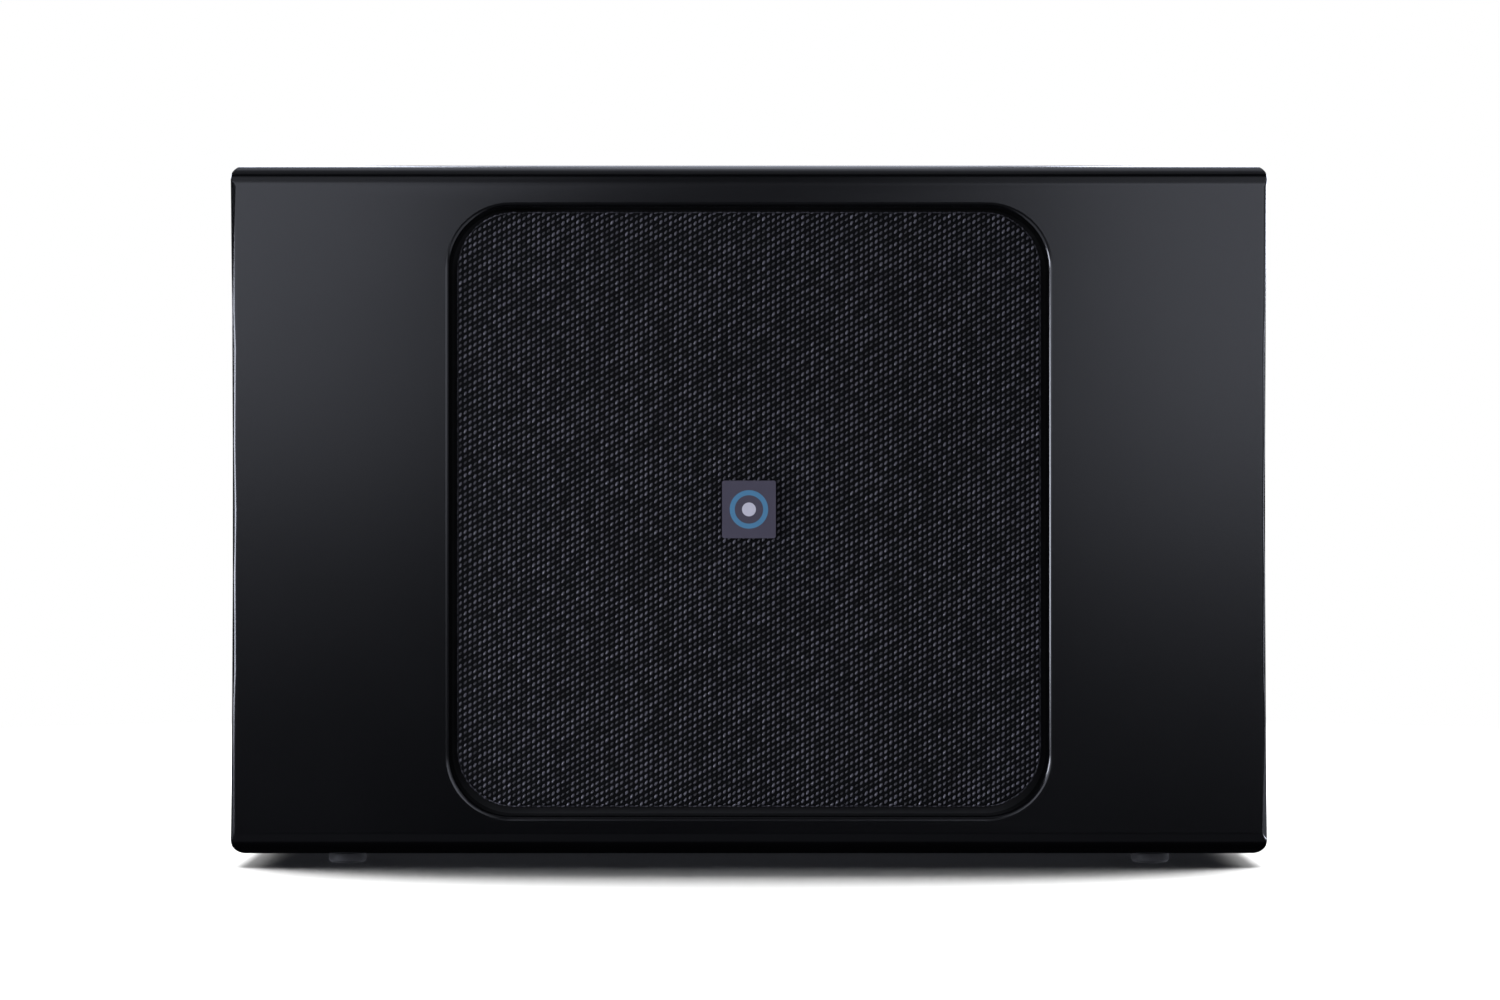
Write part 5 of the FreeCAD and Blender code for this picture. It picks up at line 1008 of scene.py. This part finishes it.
def outline(name, nodes_inside, margin, corner):
    """A thin rounded frame of ink round some CAD nodes."""
    boxes = [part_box(node) for node in nodes_inside]
    left, bottom = (min(low[i] for low, _ in boxes) - margin + corner for i in (0, 2))
    right, top = (max(high[i] for _, high in boxes) + margin - corner for i in (0, 2))
    shape = bmesh.new()
    loops = []
    for inset, y in ((0, 0), (0, INK), (LINE, INK), (LINE, 0)):
        loop = []
        for quarter, (x, z) in enumerate(((right, top), (left, top), (left, bottom), (right, bottom))):
            for i in range(7):
                angle = math.pi / 2 * (quarter + i / 6)
                out_x, out_z = (corner - inset) * math.cos(angle), (corner - inset) * math.sin(angle)
                loop.append(shape.verts.new((x + out_x, plate_face + y, z + out_z)))
        loops.append(loop)
    count = len(loops[0])
    for here, there in zip(loops, loops[1:] + loops[:1]):
        for i in range(count):
            j = (i + 1) % count
            shape.faces.new((here[i], here[j], there[j], there[i]))
    made = placed(name, closed_mesh(name, shape))
    made.data.materials.append(ink.material)
    return made


printing = [
    dial_scale("level_scale", "level_knob"),
    dial_scale("crossover_scale", "crossover_knob"),
    outline("line_input_outline", ["line_input_shells"], margin=4 * MM, corner=3 * MM),
    outline("network_outline", ["network_socket"], margin=3.5 * MM, corner=3 * MM),
    outline("phase_outline", ["phase_lever"], margin=4.5 * MM, corner=2.5 * MM),
    outline("power_outline", ["power_inlet", "power_switch_frame"], margin=5 * MM, corner=3 * MM),
]
for made in printing:
    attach(made, "enclosure")
print("printed pieces:", len(printing), "faces:", sum(len(o.data.polygons) for o in printing))

# %% [markdown]
# ## Studio
# A cut-out product picture has a white room, a soft shadow under the box, and large soft panels
# that a dark satin face mirrors. The white world is only a backdrop here: it doesn't light or
# reflect. The floor is a pale sheet that fades into it, and mirrors and bounced light leave it out.

# %% Floor and room
scene = bpy.context.scene
scene.view_settings.view_transform = "Standard"
world = bpy.data.worlds.new("white_room")
scene.world = world
world.use_nodes = True
world.node_tree.nodes["Background"].inputs["Color"].default_value = (1, 1, 1, 1)
world.cycles_visibility.glossy = False
world.cycles_visibility.diffuse = False

FLOOR_R = 1.4
FADE_END, FADE_SLOPE = 0.75, 2.2
floor_mesh = bpy.data.meshes.new("studio_floor")
corners = [(-FLOOR_R, -FLOOR_R, 0), (FLOOR_R, -FLOOR_R, 0), (FLOOR_R, FLOOR_R, 0), (-FLOOR_R, FLOOR_R, 0)]
floor_mesh.from_pydata(corners, [], [(0, 1, 2, 3)])
floor = placed("studio_floor", floor_mesh)


def floor_paint():
    """Pale and matt, fading to nothing towards the rim of a round."""
    made = Finish("floor_paint", Base_Color=(0.9, 0.9, 0.9, 1.0), Roughness=0.9, Specular_IOR_Level=0.0)
    x, y, _ = made.axes(made.place())
    reach = (x * x + y * y) * (1 / (FLOOR_R * FLOOR_R))
    made.set(Alpha=((FADE_END - reach) * FADE_SLOPE).clip())
    return made


floor_mesh.materials.append(floor_paint().material)
floor.visible_glossy = False
floor.visible_diffuse = False
floor.visible_shadow = False
print("floor half width:", FLOOR_R)

# %% [markdown]
# A mirror-like face shows whatever lies in the mirrored direction, so the panels are given by the
# directions they fill, seen from the box: turns to the right of the front, rises above the level,
# and how bright they are. They stand far away, which keeps a reflection even. A narrow strip behind
# the camera stays dark, and faint panels below the level stand for the light that a white floor
# would send back up. One low light stands near the left side, and overhead lights shade the top and
# the floor. By light linking some lights reach the box and the others only the floor, so that the
# reflections and the shadow can be set apart.

# %% Two kinds of light
EYE = Vector((0, -0.08, 0.19))
FAR = 12.0
COOL = (0.91, 0.95, 1.1)
reached = {name: bpy.data.collections.new("lights_for_" + name) for name in ("box", "floor")}
for group in reached.values():
    group.objects.link(floor)
reached["box"].collection_objects[0].light_linking.link_state = "EXCLUDE"


def area_light(name, place, aim, size, radiance, reach):
    """A soft light of a given brightness for the box or for the floor, unseen by the camera."""
    light = bpy.data.lights.new(name, "AREA")
    light.shape, light.size, light.size_y = "RECTANGLE", *size
    light.energy = radiance * math.pi * size[0] * size[1]
    light.color = COOL if reach == "box" else (1, 1, 1)
    made = bpy.data.objects.new(name, light)
    made.location = place
    made.rotation_euler = (Vector(aim) - Vector(place)).to_track_quat("-Z", "Y").to_euler()
    made.visible_camera = False
    made.light_linking.receiver_collection = reached[reach]
    scene.collection.objects.link(made)
    return made


def panel(name, turns, rises, radiance, reach="box"):
    """An upright panel that fills a span of turns (degrees right of the front) and of rises."""
    left, right = (math.radians(t) for t in turns)
    low, high = (FAR * math.tan(math.radians(r)) for r in rises)
    middle, half = (left + right) / 2, (right - left) / 2
    place = EYE + Vector((math.sin(middle) * FAR, -math.cos(middle) * FAR, (low + high) / 2))
    level = Vector((EYE.x, EYE.y, place.z))
    return area_light(name, place, level, (2 * FAR * math.tan(half), high - low), radiance, reach)


# %% [markdown]
# The lights are then two tables. The front pair of panels makes the soft fall of light down the
# face, the turn panels draw the rounded side edges, and the back panels light the rear and the top.

# %% Lights
# name, turns and rises in degrees, radiance
BOX_PANELS = [
    ("left_front", (-45, -5.5), (0.7, 26), 1.8),
    ("left_high", (-45, -5.5), (26, 56), 0.6),
    ("left_turn", (-62, -45), (-4, 16), 3.0),
    ("right_front", (5.5, 50), (-0.5, 26), 1.85),
    ("right_high", (5.5, 50), (26, 56), 0.6),
    ("right_side", (50, 85), (0, 42), 0.6),
    ("right_turn", (95, 125), (-4, 7), 2.6),
    ("back_middle", (173.5, 186.5), (8, 66), 1.2),
    ("back_left", (-172, -125), (4, 50), 5.0),
    ("back_right", (125, 172), (4, 50), 6.0),
    ("bounce_front", (-25, 25), (-55, -14), 0.1),
]
BOUNCE_TURNS = (("front", 28, 78), ("side", 78, 128), ("back", 128, 158))
BOUNCE_RISES, BOUNCE = (-55, -9), 0.7
# name, place, the point it faces, width and height in metres, radiance, what it reaches
NEAR_LIGHTS = [
    ("left_side", (-1.0, -0.42, 0.195), (0, -0.42, 0.195), (0.6, 0.31), 16.0, "box"),
    ("back_top", (0, 2.4, 6.2), (0, 2.4, 0), (3.0, 3.4), 0.85, "box"),
    ("front_top", (0, -0.6, 6.2), (0, -0.6, 0), (4.0, 2.6), 0.25, "box"),
    ("floor_top", (0, 0.82, 2.7), (0, 0.82, 0), (4.4, 1.25), 20.0, "floor"),
    ("floor_toe", (0, 0.06, 2.7), (0, 0.06, 0), (4.4, 0.27), 3.5, "floor"),
]

for row in NEAR_LIGHTS:
    area_light(*row)
for name, turns, rises, radiance in BOX_PANELS:
    panel(name, turns, rises, radiance)
for name, near, far in BOUNCE_TURNS:
    panel("bounce_left_" + name, (-far, -near), BOUNCE_RISES, BOUNCE)
    panel("bounce_right_" + name, (near, far), BOUNCE_RISES, BOUNCE)
for name, turns in (("floor_left", (-150, -112)), ("floor_right", (112, 150))):
    panel(name, turns, (14, 36), 9.0, "floor")
